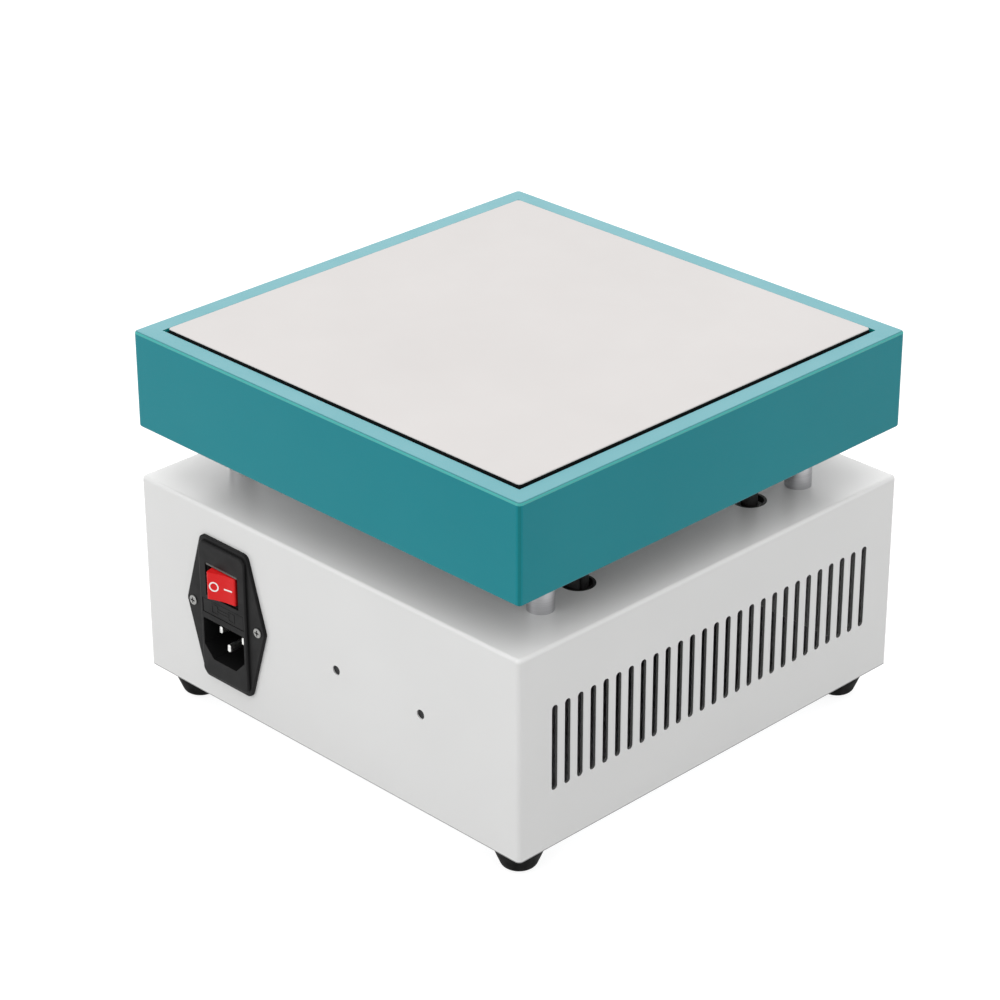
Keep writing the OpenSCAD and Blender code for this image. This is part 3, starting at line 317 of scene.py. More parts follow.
# %% [markdown]
# The case is sheet steel with a white powder coat. Such a coat melts into a satin skin with a very fine orange
# peel, so the bump is about a millimetre wide and a hundredth of one high, and the gloss wanders a little. Two
# places are painted darker: the lower edge, a raw cut edge with painted shade of the seam where the base plate
# meets the case, and the walls of the vents, which get painted shade for the dark inside of the case.

# %% White powder coat
white_coat = start_finish("white_coat", (0.86, 0.86, 0.855), 0.4)
shift_colour(white_coat, 60, (0.86, 0.86, 0.857), (0.872, 0.872, 0.869))
case_low, case_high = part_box("base_cover")
x, y, z = place_in(white_coat)
# Partly painted shade: the lowest strip of the case is painted grey, a raw cut edge with painted shade of the
# seam over the base plate.
cover_part(white_coat, below(z, case_low.z + 0.4 * mm), (0.6, 0.6, 0.6))
skin, sheet, corner_room = 0.15 * mm, 1.15 * mm, 5 * mm
off_middle = size_of(x)
in_sheet = both(below(off_middle, case_high.x - skin), above(off_middle, case_high.x - sheet))
clear_of_corner = below(size_of(y), case_high.y - corner_room)
vent_wall_shade = both(both(in_sheet, clear_of_corner), below(z, case_high.z - corner_room))
# Painted shade: the cut walls of the vents are painted dark grey, standing in for the shade inside the case.
cover_part(white_coat, vent_wall_shade, (0.41, 0.41, 0.41))
shift_gloss(white_coat, 25, 0.2, 0.25, detail=4)
raise_grain(white_coat, 0.9, 0.01, 0.3)
dress(white_coat, "base_cover")

# %% [markdown]
# The tray is folded from sheet and enamelled teal. Its upper edge is painted paler and glossier, a painted
# highlight along the fold, with a fine line of painted shade where it meets the rim, and the upright corners
# are painted darker as painted shade. It could be painted on by hand, but here the height of each point picks
# the colour, so the strip stays on the fold. The flat top is painted a little paler, also painted light. The
# bare underside is found the same way.

# %% Teal enamel on the tray
teal_enamel = start_finish("teal_enamel", (0.05, 0.505, 0.545), 0.3, specular=0.16)
shift_colour(teal_enamel, 50, (0.04, 0.5, 0.54), (0.06, 0.51, 0.55))
shift_gloss(teal_enamel, 20, 0.29, 0.35, detail=4)
raise_grain(teal_enamel, 1.1, 0.005, 0.15)
tray_low, tray_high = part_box("tray_shell")
x, y, z = place_in(teal_enamel)
cover_part(teal_enamel, below(z, tray_low.z + 0.2 * mm), (0.72, 0.73, 0.73))
edge = 1.1 * mm
edge_highlight = above(z, tray_high.z - edge)
painted_lit_top = above(z, tray_high.z - 0.05 * mm)
at_x_end = above(size_of(x), tray_high.x - edge)
corner_shade = both(at_x_end, above(size_of(y), tray_high.y - edge))
shade_line = above(z, tray_high.z - 0.22 * mm)
# Painted shade: the upright corners of the tray are painted a darker teal.
cover_part(teal_enamel, corner_shade, (0.03, 0.46, 0.48))
# Painted highlight: the top 1.1 mm of the tray, its rounded fold, is painted paler teal.
cover_part(teal_enamel, edge_highlight, (0.08, 0.62, 0.6))
# Painted shade: a fine darker line just under the rim's edge.
cover_part(teal_enamel, shade_line, (0.03, 0.44, 0.46))
# Painted light: the flat top is painted back near the base teal, a little paler than the sides.
cover_part(teal_enamel, painted_lit_top, (0.03, 0.525, 0.565))
# The painted highlight strip also gets a higher specular level.
map_range(edge_highlight, 0, 1, 0.15, 0.8, shader_of(teal_enamel).inputs["Specular IOR Level"])
dress(teal_enamel, "tray_shell")

# %% [markdown]
# The heating plate is cast aluminium that was blasted with fine beads, which leaves a pale, even, slightly warm
# surface with no direction. Its grain is finer than a millimetre. The posts are turned from bar, so their grain
# runs round them: the noise is squeezed along the post's axis, which gives fine rings.

# %% Blasted plate and turned posts
blasted_plate = start_finish("blasted_plate", (0.77, 0.757, 0.75), 0.7, specular=0.15)
shift_colour(blasted_plate, 90, (0.762, 0.749, 0.743), (0.775, 0.762, 0.756))
shift_gloss(blasted_plate, 15, 0.6, 0.75, detail=4)
raise_grain(blasted_plate, 0.35, 0.02, 0.3)
plate_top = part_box("heating_plate")[1].z
# Painted shade: the plate's sides, below its top, are painted near black, standing in for the shade in the gap
# round the plate.
cover_part(blasted_plate, below(place_in(blasted_plate)[2], plate_top - 0.4 * mm), (0.05, 0.07, 0.07))
dress(blasted_plate, "heating_plate")

turned_aluminium = start_finish("turned_aluminium", (0.78, 0.78, 0.79), 0.3, 1.0)
rings = grain(turned_aluminium, 1.0, stretch=(0.05, 0.05, 3.0), detail=3)
shift_colour(turned_aluminium, rings, (0.75, 0.75, 0.76), (0.81, 0.81, 0.82))
shift_gloss(turned_aluminium, 6, 0.28, 0.42)
raise_grain(turned_aluminium, rings, 0.02, 0.3)
dress(turned_aluminium, "post_1", "post_2", "post_3", "post_4")

# %% [markdown]
# Screws, nuts and inner plates are zinc plated. Zinc grows in small crystals that reflect a little differently,
# so both colour and gloss get a cloudy pattern. The relay's screws are blackened, and its base is rolled bar,
# whose grain is drawn out along one axis.

# %% Plated steel
zinc_plate = start_finish("zinc_plate", (0.75, 0.76, 0.77), 0.4, 1.0)
shift_colour(zinc_plate, 12, (0.68, 0.69, 0.7), (0.8, 0.81, 0.82), detail=5)
shift_gloss(zinc_plate, 4, 0.32, 0.5, detail=4)
raise_grain(zinc_plate, 0.5, 0.01, 0.25)
dress(zinc_plate, "base_plate", "tray_floor", "clamp_plate", "thermocouple", "foot_nuts", "inlet_nuts")
dress(zinc_plate, "base_plate_screws", "foot_screws", "relay_terminal_screws", "terminal_screws")
dress(zinc_plate, "post_lower_screws", "post_upper_screws", "tray_floor_screws", "clamp_screws", "plate_screws")

black_oxide = start_finish("black_oxide", (0.16, 0.16, 0.165), 0.5, 0.6)
shift_colour(black_oxide, 3, (0.12, 0.12, 0.125), (0.19, 0.19, 0.195))
shift_gloss(black_oxide, 2, 0.42, 0.6)
raise_grain(black_oxide, 0.4, 0.01, 0.25)
dress(black_oxide, "relay_screws")

relay_aluminium = start_finish("relay_aluminium", (0.7, 0.7, 0.71), 0.35, 1.0)
brushed = grain(relay_aluminium, 0.8, stretch=(0.06, 1, 1), detail=3)
shift_colour(relay_aluminium, brushed, (0.64, 0.64, 0.65), (0.75, 0.75, 0.76))
shift_gloss(relay_aluminium, 5, 0.3, 0.42)
raise_grain(relay_aluminium, brushed, 0.01, 0.3)
dress(relay_aluminium, "relay_base")

# %% [markdown]
# Small metal parts differ most in colour and polish: nickel on the pins, plain brass on the earth stud, and a
# glass tube with metal ends for the fuse. Each could share one metal finish, but in the open drawer or socket
# the eye tells them apart at once, so each has its own.

# %% Nickel pins, brass stud, fuse
nickel_pin = start_finish("nickel_pin", (0.9, 0.9, 0.89), 0.22, 1.0)
shift_colour(nickel_pin, 3, (0.86, 0.86, 0.85), (0.94, 0.94, 0.93))
shift_gloss(nickel_pin, 1.5, 0.29, 0.38)
raise_grain(nickel_pin, 0.3, 0.004, 0.2, stretch=(1, 0.1, 1))
dress(nickel_pin, "inlet_pins")

stud_brass = start_finish("stud_brass", (0.74, 0.6, 0.3), 0.32, 1.0)
shift_colour(stud_brass, 4, (0.68, 0.53, 0.25), (0.78, 0.65, 0.36))
shift_gloss(stud_brass, 2, 0.29, 0.42)
raise_grain(stud_brass, 0.3, 0.008, 0.25)
dress(stud_brass, "earth_stud")

fuse_glass = start_finish("fuse_glass", (0.86, 0.88, 0.87), 0.12, 0.4)
shift_colour(fuse_glass, 5, (0.83, 0.85, 0.84), (0.89, 0.9, 0.89))
shift_gloss(fuse_glass, 2, 0.08, 0.18)
dress(fuse_glass, "fuse")

# %% [markdown]
# The feet are moulded rubber and the lead sleeves woven glass fibre with a black dip. Rubber scatters light and
# is never quite clean, so its pattern is rough with a dusty bloom. The sleeve's weave is a fine noise, drawn
# out along the lead and raised.

# %% Rubber and woven sleeve
foot_rubber = start_finish("foot_rubber", (0.05, 0.05, 0.05), 0.62, specular=0.06)
shift_colour(foot_rubber, 5, (0.035, 0.035, 0.035), (0.065, 0.065, 0.063), detail=5)
shift_gloss(foot_rubber, 3, 0.5, 0.72, detail=3)
raise_grain(foot_rubber, 0.4, 0.05, 0.3)
dress(foot_rubber, "rubber_foot_1", "rubber_foot_2", "rubber_foot_3", "rubber_foot_4")

woven_sleeve = start_finish("woven_sleeve", (0.06, 0.06, 0.062), 0.55)
shift_colour(woven_sleeve, 2, (0.045, 0.045, 0.047), (0.085, 0.085, 0.088), detail=4)
shift_gloss(woven_sleeve, 1, 0.45, 0.65)
weave = grain(woven_sleeve, 0.7, stretch=(1, 1, 0.5), detail=1)
raise_grain(woven_sleeve, weave, 0.15, 0.5)
dress(woven_sleeve, "heater_leads", "sensor_lead")

# %% [markdown]
# Moulded parts take the texture of their mould. The inlet and the controller are spark-eroded matt black, the
# rocker is polished and dyed red, and the window is clear plastic with a red tint that hides all but the lit
# digits. The same helpers serve them all, and only the grain, its height and the gloss change.

# %% Moulded plastics
inlet_plastic = start_finish("inlet_plastic", (0.075, 0.075, 0.077), 0.5, specular=0.15)
shift_colour(inlet_plastic, 12, (0.068, 0.068, 0.07), (0.082, 0.082, 0.084))
shift_gloss(inlet_plastic, 5, 0.42, 0.54, detail=3)
raise_grain(inlet_plastic, 0.3, 0.015, 0.3)
dress(inlet_plastic, "inlet_housing", "fuse_drawer")

rocker_red = start_finish("rocker_red", (0.85, 0.1, 0.11), 0.32, specular=0.18)
shift_colour(rocker_red, 40, (0.84, 0.1, 0.11), (0.86, 0.115, 0.12))
shift_gloss(rocker_red, 3, 0.29, 0.36)
raise_grain(rocker_red, 0.5, 0.004, 0.2)
dress(rocker_red, "rocker")

black_plastic = start_finish("black_plastic", (0.11, 0.11, 0.115), 0.48, specular=0.25)
shift_colour(black_plastic, 14, (0.1, 0.1, 0.105), (0.12, 0.12, 0.125))
shift_gloss(black_plastic, 5, 0.4, 0.54, detail=3)
raise_grain(black_plastic, 0.35, 0.015, 0.35)
dress(black_plastic, "controller_case", "terminal_cap", "clamp_frame", "key_switches", "display_digits")
dress(black_plastic, "relay_body")

key_grey = start_finish("key_grey", (0.52, 0.53, 0.54), 0.5)
shift_colour(key_grey, 4, (0.5, 0.51, 0.52), (0.55, 0.56, 0.57))
shift_gloss(key_grey, 2, 0.42, 0.56)
raise_grain(key_grey, 0.3, 0.01, 0.3)
dress(key_grey, "key_1", "key_2", "key_3", "key_4")

bush_plastic = start_finish("bush_plastic", (0.08, 0.08, 0.08), 0.5, specular=0.2)
shift_colour(bush_plastic, 5, (0.07, 0.07, 0.07), (0.095, 0.095, 0.095))
shift_gloss(bush_plastic, 2, 0.42, 0.58)
raise_grain(bush_plastic, 0.4, 0.015, 0.3)
dress(bush_plastic, "lead_bush_1", "lead_bush_2")

smoked_lens = start_finish("smoked_lens", (0.72, 0.22, 0.2), 0.04)
fill(shader_of(smoked_lens), Transmission_Weight=1.0, IOR=1.49)
shift_gloss(smoked_lens, 10, 0.02, 0.06)
dress(smoked_lens, "controller_lens")

# %% [markdown]
# Inside are the circuit boards with green lacquer, the flat heating element between sheets of pressed mica
# flakes, and a board of mineral fibre that keeps the heat out of the tray's floor. None shows from outside, but
# a part that is opened or cut should still look right, so they get their own patterns too.

# %% Boards, mica, insulation
board_green = start_finish("board_green", (0.08, 0.3, 0.14), 0.35)
shift_colour(board_green, 3, (0.06, 0.26, 0.11), (0.11, 0.34, 0.17), detail=3)
shift_gloss(board_green, 2, 0.28, 0.45)
raise_grain(board_green, 1.2, 0.03, 0.4)
dress(board_green, "display_board", "controller_board")

pressed_mica = start_finish("pressed_mica", (0.66, 0.56, 0.4), 0.55)
shift_colour(pressed_mica, 6, (0.58, 0.48, 0.33), (0.72, 0.62, 0.46), detail=5)
shift_gloss(pressed_mica, 3, 0.4, 0.65, detail=3)
raise_grain(pressed_mica, 4, 0.05, 0.4, stretch=(1, 1, 4))
dress(pressed_mica, "heating_element")

fibre_board = start_finish("fibre_board", (0.9, 0.88, 0.82), 0.9)
fibres = grain(fibre_board, 1.5, stretch=(1, 0.4, 1), detail=6)
shift_colour(fibre_board, fibres, (0.85, 0.82, 0.75), (0.93, 0.91, 0.86))
shift_gloss(fibre_board, fibres, 0.82, 0.95)
raise_grain(fibre_board, fibres, 0.3, 0.6)
dress(fibre_board, "insulation_board", "plate_pillars")

# %% [markdown]
# The wires in the case have dyed covers. They differ only in colour, so one function makes the finish and is
# called once for each: brown for the mains, green for the earth, red for the control and grey for the sensor.

# %% Wires


def wire_cover(name, colour, *names):
    cover = start_finish(name, colour, 0.45)
    darker = tuple(v * 0.85 for v in colour)
    shift_colour(cover, 6, darker, colour, detail=3)
    shift_gloss(cover, 3, 0.38, 0.55)
    raise_grain(cover, 1.5, 0.02, 0.3)
    dress(cover, *names)


wire_cover("mains_cover", (0.16, 0.1, 0.07), "mains_wires")
wire_cover("earth_cover", (0.4, 0.6, 0.15), "earth_wire")
wire_cover("control_cover", (0.6, 0.1, 0.09), "control_wires")
wire_cover("sensor_cover", (0.42, 0.42, 0.43), "sensor_wire")

# %% [markdown]
# The solids have the right sizes but sharp edges. A moulded part has small rounds that catch the light, so the
# mains inlet, the rocker, the feet and the controller's front are modelled again over their solids. The helpers
# below do what a modeller does with the mouse: add a block, pick edges by where they lie, bevel them, cut.

# %% Helpers for modelling
hair = 1e-6
smooth_angle = math.radians(35)


def alone(piece):
    """Makes this piece the only one selected."""
    bpy.ops.object.select_all(action="DESELECT")
    piece.select_set(True)
    bpy.context.view_layer.objects.active = piece


def mode(name):
    bpy.ops.object.mode_set(mode=name)


def apply_moves():
    bpy.ops.object.transform_apply(location=True, rotation=True, scale=True)


def settle(name, place, scale=(1, 1, 1)):
    """Names the primitive that was just added, and puts its size and place into its mesh."""
    piece = bpy.context.object
    piece.name = piece.data.name = name
    piece.location, piece.scale = place, scale
    apply_moves()
    return piece


def add_block(name, low, high):
    bpy.ops.mesh.primitive_cube_add(size=1)
    size = [abs(b - a) for a, b in zip(low, high)]
    return settle(name, (Vector(low) + Vector(high)) / 2, size)


def across(place, name, half_w, y0, y1, z0, z1):
    """A block as wide to the left as to the right, in millimetres from the middle that place stands for."""
    return add_block(name, place(-half_w, y0, z0), place(half_w, y1, z1))


def add_rod(name, centre, radius, length, axis="Z", sides=32):
    turn = {"Z": (0, 0, 0), "Y": (math.pi / 2, math.pi / 2, 0)}[axis]
    bpy.ops.mesh.primitive_cylinder_add(vertices=sides, radius=radius, depth=length, rotation=turn)
    return settle(name, centre)


def select_none(piece, kind):
    alone(piece)
    mode("EDIT")
    bpy.ops.mesh.select_mode(type=kind)
    bpy.ops.mesh.select_all(action="DESELECT")
    mode("OBJECT")


def edit_points(piece, chosen, step, **how):
    """Runs one editing step on the points that pass the test."""
    select_none(piece, "VERT")
    for point in piece.data.vertices:
        point.select = chosen(point.co)
    mode("EDIT")
    step(**how)
    mode("OBJECT")


def round_edges(piece, chosen, width, steps=4):
    """Bevels the edges whose two ends pass the test. The width is in millimetres."""
    select_none(piece, "EDGE")
    points = piece.data.vertices
    for edge in piece.data.edges:
        edge.select = chosen(*(points[i].co for i in edge.vertices))
    mode("EDIT")
    bpy.ops.mesh.bevel(offset=width * mm, segments=steps, clamp_overlap=True)
    mode("OBJECT")


def along_y(a, b):
    return abs(a.x - b.x) < hair and abs(a.z - b.z) < hair


def from_y(limit):
    """A test for edges at this place along y or behind it."""
    return lambda a, b: min(a.y, b.y) > limit - hair


def up_to_y(limit):
    """A test for edges at this place along y or in front of it."""
    return lambda a, b: max(a.y, b.y) < limit + hair


def apply_modifier(piece, kind, **settings):
    """Adds a modifier with these settings and makes its result permanent."""
    alone(piece)
    modifier = piece.modifiers.new(kind, kind)
    for name, value in settings.items():
        setattr(modifier, name, value)
    bpy.ops.object.modifier_apply(modifier=modifier.name)


def combine(piece, other, how):
    """Cuts the other piece out of this one, or joins them, and removes the other."""
    apply_modifier(piece, "BOOLEAN", operation=how, solver="EXACT", object=other)
    bpy.data.objects.remove(other)


def cut_block(piece, low, high):
    combine(piece, add_block("cutter", low, high), "DIFFERENCE")


def soften(piece, width, steps=2, angle=40):
    """A small bevel on every sharp edge, then smooth shading. Faces with holes are first cut into triangles."""
    apply_modifier(piece, "TRIANGULATE")
    limit = math.radians(angle)
    apply_modifier(piece, "BEVEL", width=width * mm, segments=steps, limit_method="ANGLE", angle_limit=limit)
    bpy.ops.object.shade_smooth_by_angle(angle=smooth_angle)


def copy_of(piece, name, move):
    """A copy with its own mesh, moved by this much."""
    twin = piece.copy()
    twin.data = piece.data.copy()
    twin.name = twin.data.name = name
    scene.collection.objects.link(twin)
    alone(twin)
    twin.location = move
    apply_moves()
    return twin


def turn_about(piece, centre, angles):
    alone(piece)
    scene.cursor.location = centre
    bpy.ops.object.origin_set(type="ORIGIN_CURSOR")
    piece.rotation_euler = angles
    apply_moves()


def hand_over(piece, finish, body, slot, *stands_for):
    """Evens out the shading of flat faces, then sets the finish, the body and the solids it stands for."""
    apply_modifier(piece, "WEIGHTED_NORMAL", keep_sharp=True)
    piece.data.materials.clear()
    piece.data.materials.append(finish)
    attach(piece, body)
    if stands_for:
        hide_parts(*stands_for)
    print(piece.name, len(piece.data.polygons), "faces on", body)


print("modelling helpers ready")

# %% [markdown]
# The mains inlet is one moulding: a six-sided flange on the panel, a low raised block with three openings in
# it, and a body behind. A cylinder with six sides gives the flange. Its end corners are pulled outward, then
# the corners and the front edges are rounded. The openings are cut with blocks, so they stay true to the solid.

# %% Inlet flange
inlet_low, inlet_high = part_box("inlet_housing")
panel_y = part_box("base_cover")[1].y
inlet_centre = Vector(((inlet_low.x + inlet_high.x) / 2, panel_y, (inlet_low.z + inlet_high.z) / 2))


def at_inlet(x, y, z):
    """A place in millimetres from the inlet's middle, with y outward from the panel."""
    return inlet_centre + Vector((x, y, z)) * mm


flange_t = 1.6
ear_x, end_x, end_z = 24.14, 14.22, 32.75
inlet = add_rod("inlet_moulding", at_inlet(0, flange_t / 2, 0), 1, flange_t * mm, "Y", sides=6)
hexagon_h = math.sin(math.pi / 3)


def on_end(p):
    return abs(p.z - inlet_centre.z) > 20 * mm


resize = bpy.ops.transform.resize
full_size = (ear_x * mm, 1, end_z * mm / hexagon_h)
edit_points(inlet, lambda p: True, resize, value=full_size, center_override=inlet_centre)
edit_points(inlet, on_end, resize, value=(2 * end_x / ear_x, 1, 1), center_override=inlet_centre)
round_edges(inlet, lambda a, b: along_y(a, b) and on_end(a), 2.2, 6)
round_edges(inlet, lambda a, b: along_y(a, b) and abs(a.z - inlet_centre.z) < 0.1 * mm, 0.9, 5)
round_edges(inlet, from_y(panel_y + flange_t * mm), 0.5, 3)
print("flange", [round(v / mm, 1) for v in inlet.dimensions], "mm")

# %% [markdown]
# On the flange stands a low block with rounded corners, and behind it the body that goes through the panel.
# Each is a plain block with its edges along the panel's normal rounded first, then the front ones. A union
# joins them into one moulding, as they are on the real part.

# %% Raised block and body
block_y = (inlet_high.y - panel_y) / mm
block_half_w, block_half_h, block_back = 14.2, 31, 0.4
body_half_w, body_half_h, body_back, body_front = 13.55, 23.3, -26, 0.9
block = across(at_inlet, "inlet_block", block_half_w, block_back, block_y, -block_half_h, block_half_h)
round_edges(block, along_y, 3, 8)
round_edges(block, from_y(panel_y + (block_y - 0.01) * mm), 0.8, 4)
rear_body = across(at_inlet, "inlet_body", body_half_w, body_back, body_front, -body_half_h, body_half_h)
round_edges(rear_body, along_y, 1, 3)
combine(inlet, block, "UNION")
combine(inlet, rear_body, "UNION")
print("moulding", len(inlet.data.polygons), "faces, block", round(block_y, 2), "mm proud")

# %% [markdown]
# The block has a socket for the lead with two cut corners, so that a plug can't go in upside down, a slot for
# the fuse drawer and a window for the rocker with a shallow recess round it. Each is cut by a block of the
# opening's size: insets and extrusions would do too, but the cuts go deep, and the solver leaves clean walls.

# %% Openings for the lead, the drawer, the rocker and the screws
rocker_z, rocker_half_w, rocker_half_h, ledge = 14.3, 8.83, 6.4, 1.2
pivot_y, recess_y, outside = block_y - 4.3, block_y - 1, 6
socket_half_w, socket_low, socket_high, socket_depth = 12.5, -22.5, -4.5, 20
drawer_half_w, drawer_low, drawer_high, drawer_depth, slack = 12.5, -1.6, 4.6, 16, 0.2
screw_x, pin_x, pin_z, earth_z = 20, 7, -10.3, -15.6
socket = across(at_inlet, "socket_cut", socket_half_w, block_y - socket_depth, outside, socket_low, socket_high)
socket_middle_z = at_inlet(0, 0, (socket_low + socket_high) / 2).z
round_edges(socket, lambda a, b: along_y(a, b) and a.z < socket_middle_z, 5.5, 1)
round_edges(socket, lambda a, b: along_y(a, b) and a.z > at_inlet(0, 0, -5).z, 0.8, 3)
hole_back, low, high = block_y - drawer_depth - 2 * slack, drawer_low - slack, drawer_high + slack
drawer_hole = across(at_inlet, "drawer_cut", drawer_half_w + slack, hole_back, outside, low, high)
window_low, window_high = rocker_z - rocker_half_h, rocker_z + rocker_half_h
rocker_hole = across(at_inlet, "rocker_cut", rocker_half_w, -6.8, outside, window_low, window_high)
low, high = window_low - ledge, window_high + ledge
recess = across(at_inlet, "recess_cut", rocker_half_w + ledge, recess_y, outside, low, high)
round_edges(recess, along_y, 0.4, 2)
pivot_hole = add_rod("pivot_cut", at_inlet(0, pivot_y, rocker_z), 1.25 * mm, 14.8 * mm)
for cutter in (socket, drawer_hole, rocker_hole, recess, pivot_hole):
    combine(inlet, cutter, "DIFFERENCE")
for x in (-screw_x, screw_x):
    combine(inlet, add_rod("screw_cut", at_inlet(x, 0, 0), 1.7 * mm, 8 * mm, "Y", 24), "DIFFERENCE")
slot_w, slot_h = 1.05, 1.85
for x, z in ((-pin_x, pin_z), (pin_x, pin_z), (0, earth_z)):
    low, high = at_inlet(x - slot_w, -30, z - slot_h), at_inlet(x + slot_w, block_y - 19, z + slot_h)
    cut_block(inlet, low, high)
soften(inlet, 0.2)
hand_over(inlet, inlet_plastic, "base", "inlet_plastic", "inlet_housing")

# %% [markdown]
# Three flat pins stand in the socket, the middle one lower and longer because it meets the lead first. Their
# tips are rounded, so that the lead finds its way. One pin is modelled with its tip edges bevelled, and two
# copies of it are moved to their places.

# %% Pins of the socket
pin_back, pin_tip = (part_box("inlet_pins")[0].y - panel_y) / mm, block_y - 4.1
pin_half_w, pin_half_h = 1, 1.8
low = at_inlet(-pin_x - pin_half_w, pin_back, pin_z - pin_half_h)
pin = add_block("socket_pin_1", low, at_inlet(-pin_x + pin_half_w, pin_tip, pin_z + pin_half_h))
round_edges(pin, along_y, 0.9, 5)
round_edges(pin, from_y(at_inlet(0, pin_tip, 0).y), 0.65, 4)
alone(pin)
bpy.ops.object.shade_smooth_by_angle(angle=math.radians(40))
live = copy_of(pin, "socket_pin_2", (2 * pin_x * mm, 0, 0))
earth = copy_of(pin, "socket_pin_3", (pin_x * mm, 0, (earth_z - pin_z) * mm))
longer = (0, 1.8 * mm, 0)
edit_points(earth, lambda p: p.y > panel_y - 10 * mm, bpy.ops.transform.translate, value=longer)
hand_over(pin, nickel_pin, "base", "pin_metal", "inlet_pins")
for other in (live, earth):
    hand_over(other, nickel_pin, "base", "pin_metal")

# %% [markdown]
# Round the rocker runs a narrow recess. A thin lining of black plastic covers its floor, and along its upper
# side the lining has a rail, painted pale grey as a painted highlight of the light from above. That pale line
# is what makes the opening readable.

# %% Lining of the rocker's recess
gap, step = 0.15, 0.25
wide, tall = rocker_half_w + ledge - gap, rocker_half_h + ledge - gap
lining = across(at_inlet, "recess_lining", wide, recess_y, block_y - 0.75, rocker_z - tall, rocker_z + tall)
rail_low, rail_high = rocker_z + tall - 0.9, rocker_z + tall - 0.12
rail = across(at_inlet, "rail", wide - 0.3, block_y - 0.9, block_y - 0.1, rail_low, rail_high)
combine(lining, rail, "UNION")
wide = rocker_half_w + step
cut_block(lining, at_inlet(-wide, -2, window_low - step), at_inlet(wide, outside, window_high + 0.1))
soften(lining, 0.12)

lining_black = start_finish("lining_black", (0.04, 0.04, 0.04), 0.5, specular=0.1)
shift_colour(lining_black, 6, (0.035, 0.035, 0.035), (0.05, 0.05, 0.05))
shift_gloss(lining_black, 2, 0.42, 0.56)
raise_grain(lining_black, 0.3, 0.01, 0.3)
rail_highlight = above(place_in(lining_black)[1], panel_y + (block_y - 0.6) * mm)
# Painted highlight: the rail is painted pale grey where the black lining would catch the light.
cover_part(lining_black, rail_highlight, (0.4, 0.4, 0.39))
hand_over(lining, lining_black, "base", "inlet_plastic")

# %% [markdown]
# The rocker turns about an upright pin. Its face is a shallow valley and its ends are square, so a block is the
# right start: one cut down the middle gives the edge that is pushed in, and a wide bevel on that edge turns the
# sharp valley into a smooth one. It is modelled level and then leaned to the side that is pressed in.

# %% Rocker
pivot = at_inlet(0, pivot_y, rocker_z)
lean, slope = math.radians(16), math.radians(8.5)
half_l, half_h, skirt, valley = 7.0, 6.1, 2.5, 5.5
rise = valley + half_l * math.tan(slope)


def at_pivot(x, y, z):
    """A place in millimetres from the middle of the rocker's pin."""
    return pivot + Vector((x, y, z)) * mm


rocker = across(at_pivot, "rocker_cap", half_l, -skirt, rise, -half_h, half_h)
alone(rocker)
mode("EDIT")
bpy.ops.mesh.select_all(action="SELECT")
bpy.ops.mesh.bisect(plane_co=pivot, plane_no=(1, 0, 0))
mode("OBJECT")
push_in = (0, (valley - rise) * mm, 0)


def in_middle(p):
    return p.y > pivot.y and abs(p.x - pivot.x) < hair


edit_points(rocker, in_middle, bpy.ops.transform.translate, value=push_in)


def front_line(a, b, x):
    """An upright edge of the rocker's face, at this distance from its middle."""
    on_face = min(a.y, b.y) > pivot.y + 3 * mm
    return on_face and max(abs(abs(p.x - pivot.x) - x * mm) for p in (a, b)) < hair


round_edges(rocker, lambda a, b: front_line(a, b, 0), 4, 10)
round_edges(rocker, lambda a, b: front_line(a, b, half_l), 1.0, 5)
soften(rocker, 0.25, 3, angle=50)
print("rocker", len(rocker.data.polygons), "faces")

# %% [markdown]
# The switch carries the two usual signs, a ring for off and a bar for on, filled with white paint. They could
# be a texture, but as thin raised shapes they stay sharp at any distance. To follow the valley, each sign
# starts as a deep prism and is trimmed by a copy of the rocker that stands a hair further out.

# %% Ring and bar on the rocker
white_fill = start_finish("white_fill", (0.95, 0.94, 0.93), 0.4)
shift_colour(white_fill, 2, (0.93, 0.92, 0.91), (0.97, 0.96, 0.95))
shift_gloss(white_fill, 1, 0.34, 0.48)
raise_grain(white_fill, 0.3, 0.01, 0.3)


def add_ring(name, centre, radius, stroke, depth):
    """A flat ring that stands on a wall and is pushed out along y."""
    turn = (-math.pi / 2, 0, 0)
    bpy.ops.mesh.primitive_circle_add(vertices=48, radius=radius, fill_type="NGON", rotation=turn)
    ring = settle(name, centre)
    mode("EDIT")
    bpy.ops.mesh.select_all(action="SELECT")
    bpy.ops.mesh.inset(thickness=stroke)
    bpy.ops.mesh.delete(type="FACE")
    bpy.ops.mesh.select_all(action="SELECT")
    bpy.ops.mesh.extrude_region_move(TRANSFORM_OT_translate={"value": (0, depth, 0)})
    bpy.ops.mesh.select_all(action="SELECT")
    bpy.ops.mesh.normals_make_consistent(inside=False)
    mode("OBJECT")
    return ring


def lean_over(piece):
    """Turns a piece about the rocker's pin to the side that is pressed in."""
    turn_about(piece, pivot, (0, 0, lean))
    bpy.ops.object.shade_smooth_by_angle(angle=smooth_angle)


ring = add_ring("ring_mark", at_pivot(3.6, 5.2, 0), 2.2 * mm, 0.6 * mm, 3 * mm)
bar = add_block("bar_mark", at_pivot(-5.4, 5, -0.33), at_pivot(-1.2, 9, 0.33))
round_edges(bar, along_y, 0.12, 2)
for mark in (ring, bar):
    combine(mark, copy_of(rocker, "trim", (0, 0.06 * mm, 0)), "INTERSECT")
    lean_over(mark)
    hand_over(mark, white_fill, "rocker", "rocker_plastic")
combine(rocker, add_rod("rocker_pin", pivot, 1.2 * mm, 14.6 * mm), "UNION")
lean_over(rocker)
hand_over(rocker, rocker_red, "rocker", "rocker_plastic", "rocker")

